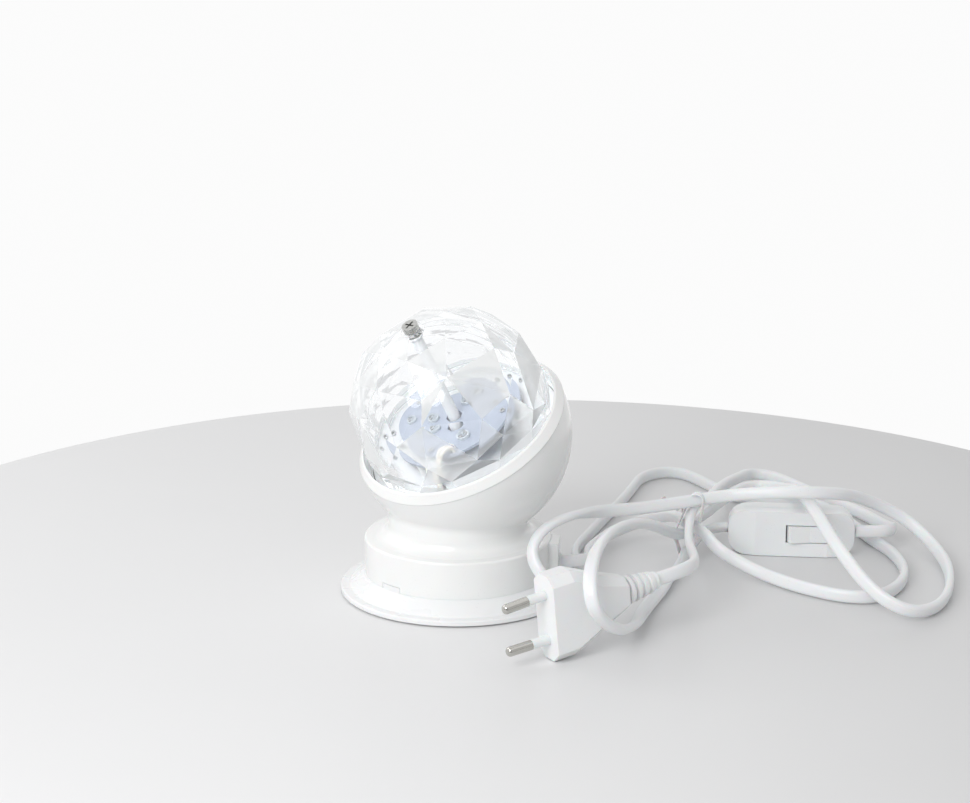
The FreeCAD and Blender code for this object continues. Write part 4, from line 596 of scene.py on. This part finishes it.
# Painted shade: towards this side the table's colour darkens to this share, over this distance
PAINTED_SHADE_WAY, PAINTED_SHADE_REACH, PAINTED_SHADE_SHARE = (0.72, 0.69, 0), 0.28, 0.83
WORLD_LIGHT, BACKDROP_LIGHT = 0.595, 0.97
# In reflections the surroundings run from the darkest level to the brightest along this direction
ROOM_WAY, ROOM_PATCHES = (-0.55, 0.57, 0.62), 1.1
ROOM_DARKEST, CLEAR_DARKEST, ROOM_BRIGHTEST = 0.05, 0.60, 1.05
LAMPS = [
    ("key", (0.22, -0.80, 0.55), (0.0, 0.0, 0.05), 0.6, 4.9),
    ("side", (-0.62, -0.25, 0.55), (-0.05, 0.0, 0.0), 0.5, 1.0)]


def dotted(tree, vector, way):
    """How far a vector reaches along a direction."""
    node = put(tree, "ShaderNodeVectorMath", i0=vector, i1=way)
    node.operation = "DOT_PRODUCT"
    return node.outputs["Value"]


def make_table():
    """A round pale table top with a quarter-round rim, its colour darkened towards one side as painted shade.
    """
    turn = np.linspace(0, 2 * np.pi, 256, endpoint=False)
    rim = [(TABLE_FLAT + TABLE_ROUND * math.sin(a), -TABLE_ROUND + TABLE_ROUND * math.cos(a))
           for a in np.linspace(0, math.pi / 2, 6)]
    profile = np.array([(0.0, 0.0), (0.30, 0.0), (TABLE_FLAT, 0.0)] + rim
                       + [(TABLE_FLAT + TABLE_ROUND, -TABLE_EDGE)])
    radius, height = profile[:, 0], profile[:, 1]
    x = TABLE_MIDDLE[0] + radius[:, None] * np.cos(turn)
    y = TABLE_MIDDLE[1] + radius[:, None] * np.sin(turn)
    z = np.broadcast_to(height[:, None] - TABLE_DROP, x.shape)
    points = np.stack([x, y, z], -1).reshape(-1, 3)
    faces = grid_faces(len(profile), len(turn))[:, ::-1]
    mesh = bpy.data.meshes.new("table")
    mesh.from_pydata(points.tolist(), [], faces.tolist())
    mesh.polygons.foreach_set("use_smooth", [True] * len(mesh.polygons))
    table = bpy.data.objects.new("table", mesh)
    collection.objects.link(table)
    material, tree, shader, place = new_material("pale table")
    surface = add_group(tree, MOULDING, Vector=place.outputs["Object"], Color=(0.80, 0.80, 0.805, 1),
                        Shade=(0.785, 0.785, 0.79, 1), Flow=6.0, Grain=500.0, Roughness=0.42, Spread=0.1)
    # Painted shade: the table's colour is scaled down towards one side, as if less light fell there
    across = dotted(tree, place.outputs["Object"], PAINTED_SHADE_WAY)
    painted_shade = put(tree, "ShaderNodeMapRange", i0=across, i1=0.0, i2=PAINTED_SHADE_REACH, i3=1.0, i4=PAINTED_SHADE_SHARE)
    tone = put(tree, "ShaderNodeVectorMath", i0=surface.outputs["Color"])
    tone.operation = "SCALE"
    tree.links.new(painted_shade.outputs[0], tone.inputs["Scale"])
    tree.links.new(tone.outputs[0], shader.inputs["Base Color"])
    tree.links.new(surface.outputs["Roughness"], shader.inputs["Roughness"])
    mesh.materials.append(material)


def make_world():
    """Surroundings that light the lamp at one plain level and show white to the camera.

    In reflections and through the clear plastic they run from grey behind the camera to white behind the
    lamp and overhead."""
    world = bpy.data.worlds.new("backdrop")
    world.use_nodes = True
    scene.world = world
    tree = world.node_tree
    background = tree.nodes["Background"]
    background.inputs["Color"].default_value = (1, 1, 1, 1)
    ray = put(tree, "ShaderNodeLightPath").outputs
    around = put(tree, "ShaderNodeTexCoord").outputs["Generated"]
    patches = put(tree, "ShaderNodeTexNoise", Vector=around, Scale=1.6, Detail=1.0)
    lean = maths(tree, "MULTIPLY_ADD", patches.outputs[0], ROOM_PATCHES, dotted(tree, around, ROOM_WAY))
    darkest = maths(tree, "MULTIPLY_ADD", ray["Is Transmission Ray"], CLEAR_DARKEST - ROOM_DARKEST,
                    ROOM_DARKEST)
    slope = put(tree, "ShaderNodeMapRange", i0=lean, i1=-0.25, i2=0.75, i3=darkest, i4=ROOM_BRIGHTEST)
    mirrored = maths(tree, "MAXIMUM", ray["Is Glossy Ray"], ray["Is Transmission Ray"])
    plain = maths(tree, "MULTIPLY_ADD", ray["Is Camera Ray"], BACKDROP_LIGHT - WORLD_LIGHT, WORLD_LIGHT)
    change = maths(tree, "SUBTRACT", slope.outputs[0], plain)
    tree.links.new(maths(tree, "MULTIPLY_ADD", change, mirrored, plain), background.inputs["Strength"])


def area_lamp(name, place, aim, width, power):
    """A round lamp at a place, aimed at a point."""
    data = bpy.data.lights.new(name, "AREA")
    data.shape = "DISK"
    data.size = width
    data.energy = power
    lamp = bpy.data.objects.new(name, data)
    lamp.location = place
    lamp.rotation_euler = (Vector(aim) - Vector(place)).to_track_quat("-Z", "Y").to_euler()
    collection.objects.link(lamp)


make_table()
make_world()
for settings in LAMPS:
    area_lamp(*settings)

scene.view_settings.view_transform = "Standard"
